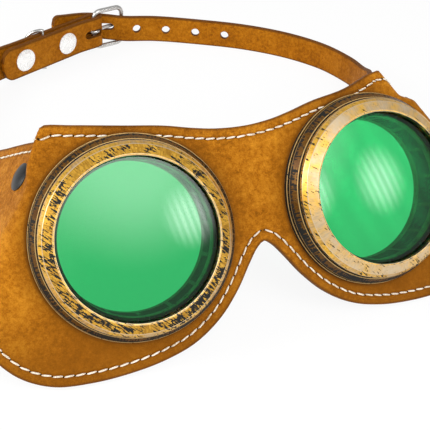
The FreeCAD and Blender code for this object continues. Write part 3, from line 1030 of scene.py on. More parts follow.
@dataclass
class Finishes:
    """All finishes of the goggles, each made once."""

    mask: Material = made(LeatherFinish("mask_leather").make)
    strap: Material = made(LeatherFinish(
        "strap_leather", (0.200, 0.060, 0.0025), (0.350, 0.114, 0.0035), (0.480, 0.180, 0.009), **PLAIN).make)
    lining: Material = made(LeatherFinish(
        "lining_leather", (0.10, 0.042, 0.012), (0.20, 0.088, 0.026), (0.30, 0.15, 0.055),
        (0.09, 0.04, 0.012), **PLAIN).make)
    # Near-black leather for the needle holes: painted shade in the holes.
    hole: Material = made(LeatherFinish(
        "needle_hole_shade", (0.010, 0.004, 0.001), (0.022, 0.008, 0.002), (0.045, 0.017, 0.004),
        (0.015, 0.005, 0.001), **PLAIN).make)
    bezel: Material = made(BrassFinish("bezel_brass").make)
    # The base gets much darker brass colours than the bezel: painted shade on the skirt.
    base: Material = made(BrassFinish(
        "base_brass", brush=0.0, radial=2.8, tangent=0.8, metal=0.30, worn=(0.50, 0.34, 0.13),
        bright=(0.19, 0.086, 0.010), brown=(0.09, 0.035, 0.004)).make)
    nickel: Material = made(MetalFinish("nickel", (0.98, 0.98, 0.97), (0.95, 0.945, 0.93), 0.35, 0.18).make)
    wire: Material = made(MetalFinish("nickel_wire", (0.66, 0.65, 0.63), (0.55, 0.54, 0.52), 0.9, 0.18).make)
    gunmetal: Material = made(MetalFinish(
        "black_metal", (0.060, 0.060, 0.058), (0.030, 0.030, 0.030), 0.85, 0.30).make)
    steel: Material = made(MetalFinish(
        "spring_steel", (0.56, 0.56, 0.58), (0.40, 0.40, 0.42), 1.0, 0.28).make)
    glass: Material = made(GlassFinish().make)
    thread: Material = made(ThreadFinish().make)
    rubber: Material = made(RubberFinish().make)


def dress(piece: Thing, finish: Material, slot: str, body: str, node: str = "") -> None:
    """Give a piece its looks and its place in the assembly.

    Args:
        piece: piece that is dressed.
        finish: its material.
        slot: not used.
        body: body that it rides on.
        node: node that it stands in for, if any.
    """
    piece.data.materials.append(finish)
    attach(piece, body)
    if node:
        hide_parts(node)
    log.info("%s: %d faces", piece.name, len(piece.data.polygons))


def dress_node(node: str, finish: Material) -> None:
    """Give a carried-over node its finish.

    Args:
        node: name of the node.
        finish: material for all of it.
    """
    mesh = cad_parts[node].data
    mesh.materials.clear()
    mesh.materials.append(finish)
    log.info("%s: %s", node, finish.name)


# The frame that the leather and the eyecups share


@dataclass(frozen=True)
class Face:
    """Lean of the mask on the table and the fold of its wings, in millimetres and degrees.

    Attributes whose names end in at are a start and a length after it, over which a form grows.
    """

    lean: float = 34.0
    toe: float = 3.4
    half_spacing: float = 40.0
    front_y: float = 8.15
    front_z: float = 34.55
    origin_x: float = -6.15
    origin_y: float = -96.4
    tilt: float = 35.0
    turn: float = 72.0
    fold_radius: float = 3.0
    fold_start: float = 31.5
    fold_run: float = 4.0
    fold_opening: float = 15.0
    opening_at: Point = (-2.0, -28.0)
    bridge: float = 6.0
    bridge_half: float = 30.0
    crease: float = 50.0
    crease_at: Point = (0.7, 3.0)
    crease_end_at: Point = (3.5, 5.2)
    pull_at: Point = (-1.0, 9.0)
    crest: float = 26.0
    crest_at: Point = (5.0, 13.0)
    curl: float = 3.2
    curl_at: Point = (6.5, 7.0)
    curl_near_at: Point = (24.5, 7.0)
    curl_far_at: Point = (37.0, 26.0)
    bend_steps: int = 50

    def leaning(self) -> Matrix:
        """Matrix from the upright mask to the row frame, in millimetres."""
        shift = Matrix.Translation((self.origin_x, self.front_y + self.origin_y, self.front_z))
        return shift @ Matrix.Rotation(-math.radians(self.lean), 4, "X")

    def row(self, point: Vector) -> Vector:
        """Row-frame place in metres of a point of the upright mask."""
        return self.leaning() @ point * MM

    @property
    def origin(self) -> Vector:
        """Middle of the table frame in the row frame, in millimetres."""
        return Vector((self.origin_x, self.origin_y, 0))

    def table(self, point: Vector) -> Vector:
        """Row-frame place in metres of a point on the table."""
        return (point + self.origin) * MM

    def cup(self, side: Side) -> Matrix:
        """Place of one eyecup.

        Args:
            side: half of the mask.

        Returns:
            Row-frame matrix in millimetres: x across, y up, z along its axis to the front.
        """
        toe = math.radians(self.toe)
        axis = Vector((side.value * math.sin(toe), -math.cos(toe), 0))
        across = Vector((math.cos(toe), side.value * math.sin(toe), 0))
        middle = Vector((side.value * self.half_spacing, 0, 0))
        return self.leaning() @ axes_at(across, UP, axis, middle)

    def axes(self) -> tuple[Vector, Vector, Vector]:
        """Directions of the right front sheet.

        Returns:
            Across the fold, along the fold and into the head.
        """
        toe = math.radians(self.toe)
        tilt = math.radians(self.tilt)
        outward = Vector((math.cos(toe), math.sin(toe), 0))
        inward = Vector((-math.sin(toe), math.cos(toe), 0))
        across = outward * math.cos(tilt) + UP * math.sin(tilt)
        along = outward * math.sin(tilt) - UP * math.cos(tilt)
        return across, along, inward

    def arc(self) -> float:
        """Length of leather in the fold."""
        return self.fold_radius * math.radians(self.turn)

    def by_fold(self, u: float, v: float) -> Point:
        """Distances of a flat-pattern point across the fold and down along it."""
        tilt = math.radians(self.tilt)
        return u * math.cos(tilt) + v * math.sin(tilt), u * math.sin(tilt) - v * math.cos(tilt)

    def pattern(self, back: float, up: float) -> Vector:
        """Flat-pattern point of a wing, from its distance behind and up the fold."""
        return Vector(self.by_fold(self.fold_start + self.arc() + back, -up))

    @lru_cache(maxsize=None)
    def bend(self, side: Side, step: int) -> tuple[float, float, list[Triple]]:
        """Section of the fold at one height.

        The left fold is pulled back over itself near its top, and both open out lower down.

        Args:
            side: half of the mask.
            step: height along the fold, of which bend_steps make a millimetre.

        Returns:
            Distance across the front where it starts, pattern distance where it ends, and its points:
            distance across and depth from the start, and turn in radians.
        """
        up = step / self.bend_steps
        crease = self.crease + self.crest * fade(up, self.crest_at)
        pull = fade(up, self.pull_at) if side is Side.LEFT else 0.0
        rise = self.fold_run + self.fold_opening * fade(up, self.opening_at)
        length = max(rise, sum(self.crease_end_at)) if pull > 0.001 else rise
        pieces = 48
        across = depth = 0.0
        points = [(0.0, 0.0, 0.0)]
        for number in range(pieces):
            run = length * (number + 0.5) / pieces
            over = crease * pull * fade(run, self.crease_at) * (1 - fade(run, self.crease_end_at))
            turn = math.radians(self.turn * ease(run / rise) + over)
            across += math.cos(turn) * length / pieces
            depth += math.sin(turn) * length / pieces
            points.append((across, depth, turn))
        full = math.radians(self.turn)
        apex = self.fold_radius * math.tan(full / 2)
        start = self.fold_start + apex + depth / math.tan(full) - across
        end = self.fold_start + self.arc() + depth / math.sin(full) - apex
        return start, end, points

    def section(self, side: Side, w: float, up: float) -> Triple:
        """Section of the folded sheet at one height.

        Args:
            side: half of the mask.
            w: distance across the flat pattern, mm.
            up: height along the fold, mm.

        Returns:
            Distance across, depth, and turn in radians.
        """
        start, end, points = self.bend(side, round(up * self.bend_steps))
        full = math.radians(self.turn)
        if w <= start:
            across, depth, turn = w, 0.0, 0.0
        elif w >= end:
            across = start + points[-1][0] + (w - end) * math.cos(full)
            depth = points[-1][1] + (w - end) * math.sin(full)
            turn = full
        else:
            spot = (w - start) / (end - start) * (len(points) - 1)
            low = min(int(spot), len(points) - 2)
            share = spot - low
            one, two = points[low], points[low + 1]
            across = start + one[0] + (two[0] - one[0]) * share
            depth = one[1] + (two[1] - one[1]) * share
            turn = one[2] + (two[2] - one[2]) * share
        if side is Side.RIGHT:
            curl = self.curl * fade(up, self.curl_at)
            across -= curl * fade(w, self.curl_near_at) * (1 - fade(w, self.curl_far_at))
        return across, depth, turn

    def sheet(self, side: Side, u: float, v: float, depth: float) -> Vector:
        """Place of a flat-pattern point on the folded mask.

        Args:
            side: half of the mask.
            u: distance outward from the eyecup's axis, mm.
            v: height above the axis, mm.
            depth: distance behind the outer face, mm.

        Returns:
            The row-frame point in metres.
        """
        across, along, inward = self.axes()
        w, q = self.by_fold(u, v)
        reach, drop, turn = self.section(side, w, -q)
        outward = across * math.sin(turn) - inward * math.cos(turn)
        point = Vector((self.half_spacing, 0, 0)) + across * reach + along * q + inward * drop
        half = self.bridge_half
        if abs(point.x) < half:
            flat = math.hypot(point.x, self.bridge) - math.hypot(half, self.bridge) + half - abs(point.x)
            point.y += flat * math.tan(math.radians(self.toe))
        point -= outward * depth
        point.x *= side.value
        return self.row(point)

    def wing(self, side: Side, back: float, up: float, depth: float) -> Vector:
        """Point on the plane of a wing.

        Args:
            side: half of the mask.
            back: distance behind the fold, mm.
            up: distance up the fold, mm.
            depth: distance behind the outer face, mm.

        Returns:
            Table-frame point in millimetres.
        """
        across, along, inward = self.axes()
        full = math.radians(self.turn)
        origin = Vector((self.half_spacing, 0, 0))
        origin += across * (self.fold_start + self.fold_radius * math.sin(full))
        origin += inward * (self.fold_radius * (1 - math.cos(full)))
        run = across * math.cos(full) + inward * math.sin(full)
        outward = across * math.sin(full) - inward * math.cos(full)
        point = origin + run * back - along * up - outward * depth
        point.x *= side.value
        return self.leaning() @ point - self.origin


# Mask


@dataclass
class Mask:
    """Folded leather sheet with its lining and its white stitching, in millimetres and degrees.

    The outline is drawn on the flat pattern of one half, from the eyecup's axis outward and up, apart
    from its wing, which is drawn from the fold. Inset, stitch, pitch, thread and slant are the sewing's.
    """

    face: Face
    finishes: Finishes
    leather: float = 1.8
    lining: float = 1.2
    gap: float = 0.03
    hole: float = 26.1
    lining_margin: float = 1.9
    lining_fold: float = 0.4
    inset: float = 3.1
    stitch: float = 3.0
    stitch_flat: float = 0.26
    pitch: float = 3.3
    thread: float = 0.28
    slant: float = 6.0
    columns: int = 230
    middle_columns: int = 24
    rows: int = 44
    ray_marks: int = 120
    edge_marks: int = 420
    seam_marks: int = 600
    turn_weight: float = 2.6
    top: tuple[Point, ...] = ((-40.07, 26.9), (-31, 27.5), (-24, 28.8), (-15, 31), (-3, 33))
    left_corner: tuple[Point, ...] = (
        (8, 34.9), (13, 35.75), (16.3, 36.4), (17.9, 36.65), (18.9, 36.5), (19.75, 36.25), (20.65, 36.07),
        (22.1, 36.05))
    right_corner: tuple[Point, ...] = (
        (3, 35.0), (5.5, 36.0), (9.4, 38.0), (11.6, 38.75), (12.8, 38.95), (13.8, 38.95), (15.6, 38.75),
        (18.2, 38.1), (21.5, 36.8))
    wing: tuple[Point, ...] = (
        (5, 15.2), (14, 13.2), (26, 10.5), (37, 7.5), (43, 1), (39, -8), (29, -16.5), (17, -25), (6, -32),
        (0, -35.5))
    low: tuple[Point, ...] = (
        (50, -16.45), (46.5, -25), (40, -33), (31, -37.9), (20, -39.5), (8, -39.4), (-3, -38), (-13, -35),
        (-22, -29.3), (-29, -22), (-34, -15), (-37.5, -10.6), (-40.07, -9))

    def edge(self, side: Side, count: int) -> list[Vector]:
        """Free edge of one half's flat pattern.

        Args:
            side: half of the mask.
            count: number of points wanted.

        Returns:
            Even points from the brow to the nose.
        """
        points = [Vector(point) for point in self.top]
        corner = self.left_corner if side is Side.LEFT else self.right_corner
        points += [Vector(point) for point in corner]
        points += [self.face.pattern(back, up) for back, up in self.wing]
        points += [Vector(point) for point in self.low]
        middle = self.top[0][0]
        before = Vector((2 * middle - self.top[1][0], self.top[1][1]))
        after = Vector((2 * middle - self.low[-2][0], self.low[-2][1]))
        return through(points, count, before, after)

    def outline(self, side: Side) -> list[Vector]:
        """Closed outline of one half's flat pattern.

        Args:
            side: half of the mask.

        Returns:
            Points on the free edge and then on the middle line.
        """
        count = self.middle_columns
        free = self.edge(side, self.columns - count)
        middle = [free[-1].lerp(free[0], step / count) for step in range(1, count)]
        return free + middle + [free[0]]

    def spacing(self, side: Side, way: Vector, reach: float) -> list[float]:
        """Distances of the rows from the axis in one direction, closer together where the sheet turns.

        Args:
            side: half of the mask.
            way: direction from the axis on the flat pattern.
            reach: distance of the sheet's edge.

        Returns:
            One distance for each row.
        """
        lean, fall = self.face.by_fold(way.x, way.y)
        count = self.ray_marks
        marks = [0.0]
        last = None
        for number in range(count + 1):
            far = self.hole + (reach - self.hole) * number / count
            across, depth, turn = self.face.section(side, far * lean, -far * fall)
            here = Vector((across, depth, far * fall))
            if last is not None:
                marks.append(marks[-1] + (here - last[0]).length + self.turn_weight * abs(turn - last[1]))
            last = here, turn
        return [self.hole + (reach - self.hole) * spot / count for spot in even_places(marks, self.rows)]

    def spread(self, name: str, reach: Callable[[Vector], float], depth: float, thickness: float) -> Thing:
        """Both halves of a folded sheet between the eyecup holes and an outline.

        Args:
            name: name of the object.
            reach: distance of the sheet's edge from the axis towards an outline point.
            depth: distance of its outer face behind the mask's.
            thickness: thickness of the sheet.

        Returns:
            The sheet with rounded edges, and its distance from the edge kept on its vertices.
        """
        halves = []
        for side in Side:
            outline = self.outline(side)
            free = KDTree(self.edge_marks)
            for number, mark in enumerate(self.edge(side, self.edge_marks)):
                free.insert((*mark, 0.0), number)
            free.balance()
            rays = [self.spacing(side, rim.normalized(), reach(rim)) for rim in outline]
            spots: dict[tuple[int, int], Vector] = {}

            def place(column: int, row: int) -> Vector:
                """Row-frame position of one vertex of the sheet.

                Args:
                    column: place on the outline.
                    row: place from the eyecup to the edge.

                Returns:
                    The position in metres.
                """
                spot = outline[column].normalized() * rays[column][row]
                spots[column, row] = spot
                return self.face.sheet(side, spot.x, spot.y, depth)

            half = Bench.draped("%s_%s" % (name, side.word), len(outline), self.rows, place)
            order = sorted(spots, key=lambda key: (key[1], key[0]))
            Bench.lengthwise("rim", half, [free.find((*spots[key], 0.0))[2] * MM for key in order])
            Bench.lengthwise("eye", half, [spots[key].length * MM for key in order])
            halves.append(half)
        sheet = Bench.join(name, halves)
        Bench.tidy(sheet, 2e-5)
        self.face_front(sheet)
        Bench.thicken(sheet, thickness * MM, -1.0, False)
        Bench.soften(sheet, 50)
        return sheet

    def face_front(self, sheet: Thing) -> None:
        """Turn a sheet's faces to the front if they point into the head.

        Args:
            sheet: sheet, one face thick.
        """
        lean = self.face.leaning().to_3x3() @ Vector((0, -1, 0))
        total = sum(face.normal.dot(lean) * face.area for face in sheet.data.polygons)
        if total < 0:
            with Bench.editing(sheet):
                bpy.ops.mesh.flip_normals()

    def build_leather(self) -> None:
        """Outer leather of both halves."""
        sheet = self.spread("mask_leather", lambda rim: rim.length, 0.0, self.leather)
        dress(sheet, self.finishes.mask, "leather", "goggles", "mask_outer")

    def build_lining(self) -> None:
        """Lining behind the fronts, short of the edge and of the fold."""
        fold = self.face.fold_start - self.lining_margin + self.lining_fold
        sloping = 0.05
        on_middle = 0.01

        def reach(rim: Vector) -> float:
            """Distance to the lining's edge.

            Args:
                rim: flat-pattern point on the outline.

            Returns:
                The distance from the axis towards that point.
            """
            lean = self.face.by_fold(*rim.normalized())[0]
            free = abs(rim.x - self.top[0][0]) > on_middle
            limit = rim.length - self.lining_margin if free else rim.length
            return min(limit, fold / lean) if lean > sloping else limit

        sheet = self.spread("mask_lining_leather", reach, self.leather + self.gap, self.lining)
        dress(sheet, self.finishes.lining, "lining_leather", "goggles", "mask_lining")

    def seam(self, side: Side) -> list[tuple[Vector, Vector]]:
        """Stitches of one half.

        Args:
            side: half of the mask.

        Returns:
            Their flat-pattern places and directions.
        """
        edge = self.edge(side, self.seam_marks)
        inset = []
        for number, point in enumerate(edge):
            run = (edge[min(number + 1, len(edge) - 1)] - edge[max(number - 1, 0)]).normalized()
            inward = Vector((run.y, -run.x))
            inset.append(point + inward * self.inset)
        length = sum((two - one).length for one, two in zip(inset, inset[1:]))
        count = round(length / self.pitch)
        marks = evenly(inset, 2 * count + 1)
        return [(marks[n], (marks[n + 1] - marks[n - 1]).normalized()) for n in range(1, 2 * count, 2)]

    def stitch_shape(self) -> Thing:
        """One stitch: a short run of thread whose ends dip into the leather.

        Returns:
            The stitch, along x.
        """
        Bench.clear()
        bpy.ops.mesh.primitive_cylinder_add(vertices=8, radius=self.thread * MM, depth=self.stitch * MM,
                                            end_fill_type="NGON", rotation=(0, math.pi / 2, 0))
        shape = Bench.named("stitch")
        bpy.ops.object.transform_apply(location=True, rotation=True, scale=True)
        with Bench.editing(shape):
            for share in (self.stitch_flat, -self.stitch_flat):
                bpy.ops.mesh.select_all(action="SELECT")
                bpy.ops.mesh.bisect(plane_co=(self.stitch * MM * share, 0, 0), plane_no=(1, 0, 0))
        half = self.stitch * MM / 2
        flatness, taper, dip, tip = 0.85, 0.5, 0.75, 0.9
        for vertex in shape.data.vertices:
            vertex.co.z *= flatness
            if abs(vertex.co.x) / half > tip:
                vertex.co.y *= taper
                vertex.co.z = vertex.co.z * taper - self.thread * MM * dip
        Bench.soften(shape, 70)
        return shape

    def hole_shape(self) -> Thing:
        """One needle hole: a shallow dish between two stitches, coloured near black as painted shade in the
        hole.

        Returns:
            The dish.
        """
        Bench.clear()
        wide, narrow, deep = 0.42 * MM, 0.16 * MM, 0.1 * MM
        bpy.ops.mesh.primitive_cone_add(vertices=8, radius1=wide, radius2=narrow, depth=deep,
                                        end_fill_type="NGON")
        return Bench.named("needle_hole_shade")

    def sew(self, name: str, shape: Thing, depth: Callable[[Vector], float], step: float,
            back: bool) -> Thing:
        """Copies of one shape along the seam of both halves.

        Args:
            name: name of the joined copies.
            shape: piece to copy.
            depth: depth of the copy's middle behind the outer face at a flat-pattern point.
            step: shift along the seam, in millimetres.
            back: whether the copies face into the head.

        Returns:
            All copies in one mesh.
        """
        copies = []
        swing = math.radians(self.slant)
        into = 1 if back else -1
        for side in Side:
            for spot, run in self.seam(side):
                spot = spot + run * step
                sunk = depth(spot)
                along = Vector((run.x * math.cos(swing) + run.y * math.sin(swing),
                                run.y * math.cos(swing) - run.x * math.sin(swing)))
                across = Vector((-along.y, along.x))
                copy = shape.copy()
                copy.data = shape.data.copy()
                bpy.context.collection.objects.link(copy)
                for vertex in copy.data.vertices:
                    x, y, z = vertex.co / MM
                    place = spot + along * x + across * y
                    vertex.co = self.face.sheet(side, place.x, place.y, sunk + into * z)
                copies.append(copy)
        row = Bench.join(name, copies)
        Bench.tidy(row, 1e-7)
        return row

    def back_depth(self, spot: Vector) -> float:
        """Depth of the face that touches the head at a flat-pattern point."""
        beyond = self.face.by_fold(*spot)[0] > self.face.fold_start - self.lining_margin
        return self.leather if beyond else self.leather + self.lining + self.gap

    def build_stitching(self) -> None:
        """Rows of stitches on both faces, and needle holes on the front, coloured as painted shade."""
        shape = self.stitch_shape()
        hole = self.hole_shape()
        lift = self.thread * 0.35
        rows = [
            self.sew("stitching_front", shape, lambda spot: -lift, 0.0, False),
            self.sew("stitching_back", shape, lambda spot: self.back_depth(spot) + lift, 0.0, True),
        ]
        holes = self.sew("needle_hole_shades", hole, lambda spot: 0.0, self.pitch / 2, False)
        for template in (shape, hole):
            bpy.data.objects.remove(template)
        for row in rows:
            dress(row, self.finishes.thread, "leather", "goggles")
        dress(holes, self.finishes.hole, "leather", "goggles")

    def build(self) -> None:
        """Build and dress the mask."""
        self.build_leather()
        self.build_lining()
        self.build_stitching()


# Eyecups


@dataclass
class Eyecup:
    """Base, bezel and lens of one eyecup, in millimetres along its axis."""

    face: Face
    finishes: Finishes
    side: Side
    flange: float = 30.9
    tube: float = 25.9
    bore: float = 22.9
    back: float = 8.2
    lens: float = 25.0
    lens_back: float = 6.2
    lens_edge: float = 1.95
    lens_dome: float = 1.6
    window: float = 24.0

    @property
    def hatch_and_highlight(self) -> float:
        """Black marks on the sloping face; on the right cup they are thinned to leave a painted highlight
        where that face catches the light.
        """
        return 0.50 if self.side is Side.LEFT else 0.12

    def base(self) -> Turned:
        """Flange, groove, skirt and tube.

        Returns:
            The turned base.
        """
        return Turned("eyecup_base_%s_brass" % self.side.word, (
            Corner(self.bore, -self.back, 0.3, 0.55),
            Corner(self.tube, -self.back, 0.3, 0.55),
            Corner(self.tube, 0.0, 0.05, 0.8),
            Corner(self.flange, 0.0, 0.10, 0.95),
            Corner(self.flange, 1.6, 0.14, 0.60),
            Corner(self.flange - 0.85, 1.6, 0.15, 1.0),
            Corner(self.flange - 0.85, 2.55, 0.15, 0.9),
            Corner(self.flange - 0.3, 2.6, 0.12, 1.05),
            Corner(self.flange - 1.1, 3.9, 0.0, 0.58),
            Corner(self.flange - 1.9, 5.2, 0.2, 0.9),
            Corner(27.9, 5.2, 0.2, 1.0),
            Corner(27.9, 1.5, 0.1, 1.0),
            Corner(self.tube, 1.5, 0.1, 1.0),
            Corner(self.tube, 5.2, 0.2, 0.6),
            Corner(self.bore, 5.2, 0.3, 0.15),
            Corner(self.bore, 2.1, 0.0, 0.15),
            # The darkest band of the bore, where the pockets are painted in as shade.
            Corner(self.bore, 1.9, 0.0, 1.4),
            Corner(self.bore, -4.9, 0.0, 1.4),
            Corner(self.bore, -5.1, 0.0, 0.15),
        ))

    def bezel(self) -> Turned:
        """Threaded ring with a sloping face round the window.

        Returns:
            The turned ring.
        """
        return Turned("bezel_%s_brass" % self.side.word, (
            Corner(26.0, 1.8, 0.15, 0.6),
            Corner(27.45, 1.8, 0.15, 0.9),
            Corner(27.45, 5.6, 0.1, 1.0),
            Corner(28.5, 5.6, 0.15, 0.50),
            Corner(28.5, 6.9, 0.25, 0.20),
            # Sloping face: on the right cup, painted highlight.
            Corner(27.4, 8.4, 0.40, self.hatch_and_highlight),
            Corner(24.5, 9.95, 0.15, 0.36),
            Corner(self.window, 9.9, 0.15, 0.8),
            Corner(self.window, 8.45, 0.1, 1.0),
            Corner(25.3, 8.4, 0.1, 1.0),
            Corner(25.3, 6.35, 0.1, 0.8),
            Corner(26.0, 6.35, 0.1, 0.8),
        ))

    def glass(self) -> Turned:
        """Lens with a flat back and a slightly domed front.

        Returns:
            The turned lens.
        """
        front = self.lens_back + self.lens_edge
        corners = [Corner(0.0, self.lens_back, 0.0), Corner(self.lens, self.lens_back, 0.2)]
        for r, rise in dome(self.lens, self.lens_dome, 16):
            corners.append(Corner(r, front + rise, 0.15 if r == self.lens else 0.0))
        return Turned("lens_%s_glass" % self.side.word, corners, closed=False)

    def build(self) -> None:
        """Build and dress the eyecup."""
        word = self.side.word
        plan = (
            (self.base(), self.finishes.base, "goggles", "eyecup_base_" + word, "antique_brass"),
            (self.bezel(), self.finishes.bezel, "bezel_" + word, "bezel_" + word, "antique_brass"),
            (self.glass(), self.finishes.glass, "lens_carrier_" + word, "lens_" + word, "green_glass"),
        )
        for turned, finish, body, node, slot in plan:
            dress(turned.build(self.face.cup(self.side)), finish, slot, body, node)
        for node, finish in (("back_nut_", self.finishes.gunmetal), ("gasket_", self.finishes.rubber),
                             ("lens_clip_", self.finishes.steel)):
            dress_node(node + word, finish)


# Rivets


@dataclass
class Rivet:
    """Double-cap rivet with domed caps, in millimetres."""

    name: str
    node: str
    place: Matrix
    cap: float
    grip: float
    finish: Material
    slot: str
    post: float = 1.6
    height: float = 1.3
    rim: float = 0.35

    def build(self) -> None:
        """Build and dress the rivet."""
        cap = [(r, self.rim + rise) for r, rise in dome(self.cap, self.height - self.rim, 8)]
        corners = [Corner(r, -self.grip - z, 0.0, 0.2) for r, z in reversed(cap)]
        corners += [Corner(self.cap, -self.grip, 0.08, 0.9), Corner(self.post, -self.grip, 0.0, 0.9),
                    Corner(self.post, 0.0, 0.0, 0.9), Corner(self.cap, 0.0, 0.08, 0.9)]
        corners += [Corner(r, z, 0.0, 0.2) for r, z in cap]
        turned = Turned(self.name, corners, closed=False)
        turned.steps = 48
        dress(turned.build(self.place), self.finish, self.slot, "goggles", self.node)


# Straps and buckle


@dataclass
class Straps:
    """Two leather straps, their rivets, the wire buckle and the keeper, in millimetres and degrees.

    The bar is the buckle's, in the table frame, and heading is the strap's direction there. Layer and
    flap are the distances of the buckle strap and of its turned-back end from the bar. Each tab is the
    wide end of a strap, by its distance behind the fold of its wing and up along it.
    """

    face: Face
    finishes: Finishes
    leather: float = 1.8
    thickness: float = 2.0
    width: float = 12.7
    rows: int = 300
    columns: int = 11
    tip: float = 0.28
    buckle_width: float = 15.0
    buckle_neck: float = 13.6
    buckle_slot: float = 3.6
    bar: Triple = (1.0, 200.0, 10.5)
    heading: float = 26.6
    layer: float = 2.5
    turn_start: float = 0.3
    flap: float = -1.3
    frame_length: float = 15.0
    frame_half: float = 9.2
    frame_wire: float = 1.1
    frame_turn: float = -14.0
    frame_corner: float = 3.2
    tongue_wire: float = 0.9
    tongue_hook: float = 2.0
    tongue_past: float = 1.2
    tongue_rise: float = 1.15
    ring: float = 9.4
    ring_wire: float = 0.8
    ring_spot: Point = (-31.0, 0.6)
    ring_turn: float = 134.0
    hole: float = 2.0
    tab_gap: float = 0.1
    tab_top: tuple[Point, ...] = ((2, 8), (14, 8.5), (28, 7.5), (40, 6.6), (48, 5.35))
    tab_low: tuple[Point, ...] = ((2, -28), (16, -26), (28, -15.5), (40, -9.5), (48, -7.35))
    tab_end: Point = (54, -1)
    rivets: tuple[Point, ...] = ((7, 3), (7, -22))
    wing_cap: float = 4.4
    strap_cap: float = 5.1
    strap_grip: float = 5.8

    def by_bar(self, x: float, y: float, z: float = 0.0) -> Vector:
        """Point beside the buckle bar.

        Args:
            x: distance along the strap, mm.
            y: distance away from the head, mm.
            z: height, mm.

        Returns:
            Table-frame point in millimetres.
        """
        turn = math.radians(self.heading)
        return Vector((self.bar[0] + x * math.cos(turn) - y * math.sin(turn),
                       self.bar[1] + x * math.sin(turn) + y * math.cos(turn), self.bar[2] + z))

    def way(self, x: float, y: float) -> Vector:
        """Direction beside the buckle bar."""
        return self.by_bar(x, y) - self.by_bar(0, 0)

    def tab(self, side: Side, width: float) -> list[Vector]:
        """Stations of the wide end on the inner face of a wing and of the narrow neck behind it.

        Args:
            side: wing that carries the strap.
            width: width of the neck.

        Returns:
            A top and a low point for each station.
        """
        depth = self.leather + self.thickness / 2 + self.tab_gap
        stations = []
        for (back, top), (back_low, low) in zip(self.tab_top, self.tab_low):
            one = self.face.wing(side, back, top, depth)
            two = self.face.wing(side, back_low, low, depth)
            stations.append(Vector((*one, *two)))
        neck = self.face.wing(side, *self.tab_end, self.leather + self.thickness / 2)
        return [*stations, self.station(neck, side, 1.0, width)]

    def station(self, centre: Vector, side: Side, share: float, width: float) -> Vector:
        """Station of a strap that stands upright or leans towards its wing.

        Args:
            centre: table-frame middle of the strap.
            side: wing that the strap comes from.
            share: part of the wing's own lean.
            width: width of the strap.

        Returns:
            The top and the low point.
        """
        wing_up = (self.face.wing(side, 0, 1, 0) - self.face.wing(side, 0, 0, 0)).normalized()
        up = (UP * (1 - share) + wing_up * share).normalized()
        return Vector((*(centre + up * width / 2), *(centre - up * width / 2)))

    def ribbon(self, name: str, stations: Sequence[Vector], round_end: float) -> Thing:
        """Strap through stations.

        Args:
            name: name of the object.
            stations: top and low points in order.
            round_end: length of the rounded end, in millimetres.

        Returns:
            The strap with rounded edges.
        """
        path = through(stations, self.rows)
        columns = self.columns
        length = sum((two - one).length for one, two in zip(path, path[1:])) / math.sqrt(2)

        def place(column: int, row: int) -> Vector:
            """Row-frame position of one vertex.

            Args:
                column: place across the strap.
                row: place along the strap.

            Returns:
                The position in metres.
            """
            top, low = Vector(path[row][:3]), Vector(path[row][3:])
            share = column / (columns - 1)
            left = length * (1 - row / (self.rows - 1))
            if left < round_end:
                narrow = math.sqrt(max(1 - (1 - left / round_end) ** 2, 0.0)) * (1 - self.tip) + self.tip
                share = 0.5 + (share - 0.5) * narrow
            return self.face.table(top.lerp(low, share))

        strap = Bench.draped(name, columns, self.rows, place)
        rims = []
        for vertex in strap.data.vertices:
            column = vertex.index % columns
            rims.append(min(column, columns - 1 - column) / (columns - 1) * self.width * MM)
        Bench.lengthwise("rim", strap, rims)
        Bench.thicken(strap, self.thickness * MM, 0.0, True)
        Bench.tidy(strap)
        return strap

    def punch(self, strap: Thing, centre: Vector, outward: Vector, size: Point) -> None:
        """Cut a round-ended hole through a strap.

        Args:
            strap: strap that is cut.
            centre: table-frame middle of the hole.
            outward: direction through the strap.
            size: length along the strap and height of the hole, in millimetres.
        """
        Bench.clear()
        bpy.ops.mesh.primitive_cylinder_add(vertices=40, radius=size[1] / 2, depth=9)
        tool = Bench.named("punch")
        slide = (size[0] - size[1]) / 2
        for vertex in tool.data.vertices:
            vertex.co.x += slide if vertex.co.x > 1e-6 else -slide
        outward = outward.normalized()
        run = outward.cross(UP).normalized()
        tool.data.transform(axes_at(run, outward.cross(run), outward, centre))
        for vertex in tool.data.vertices:
            vertex.co = self.face.table(vertex.co)
        Bench.apply(strap, "BOOLEAN", operation="DIFFERENCE", object=tool, solver="EXACT")
        bpy.data.objects.remove(tool)

    def finish(self, strap: Thing, node: str) -> None:
        """Dress a strap and set it on its body."""
        Bench.soften(strap, 45)
        dress(strap, self.finishes.strap, "leather", "goggles", node)

    def build_buckle_strap(self) -> None:
        """Strap from the left wing to the bar, round it and back along the head side."""
        wide = self.buckle_width
        left = Side.LEFT
        near, flap, end = self.layer, self.flap, self.turn_start
        stations = self.tab(left, self.buckle_neck)
        for x, y, z, share in ((-87, 96, 19.5, 0.5), (-88.5, 115, 12.8, 0.2), (-84, 134, 9.4, 0.05),
                               (-72.5, 153.5, 8.7, 0.0)):
            stations.append(self.station(Vector((x, y, z)), left, share, wide))
        centres = [(-64, near - 1.3, -0.8)]
        centres += [(x, near, 0.0) for x in (-57.5, -44, -30, -16, -6, end)]
        centres += [(end + near * math.cos(turn), near * math.sin(turn), 0.0) for turn in sweep(60, -120, 4)]
        centres += [(end, -near, 0.0), (-1.5, -near, 0.0), (-6, (flap - near) / 2, 0.0)]
        centres += [(x, flap, 0.0) for x in (-11, -20, -34, -46, -56)]
        stations += [self.station(self.by_bar(*centre), left, 0.0, wide) for centre in centres]
        strap = self.ribbon("buckle_strap_leather", stations, 5.0)
        self.punch(strap, self.by_bar(1.0, 0.0), self.way(1, 0), (self.buckle_slot, self.buckle_slot))
        self.punch(strap, self.by_bar(-3.0, 0.0), self.way(0, 1), (10.0, self.buckle_slot))
        self.finish(strap, "buckle_strap")

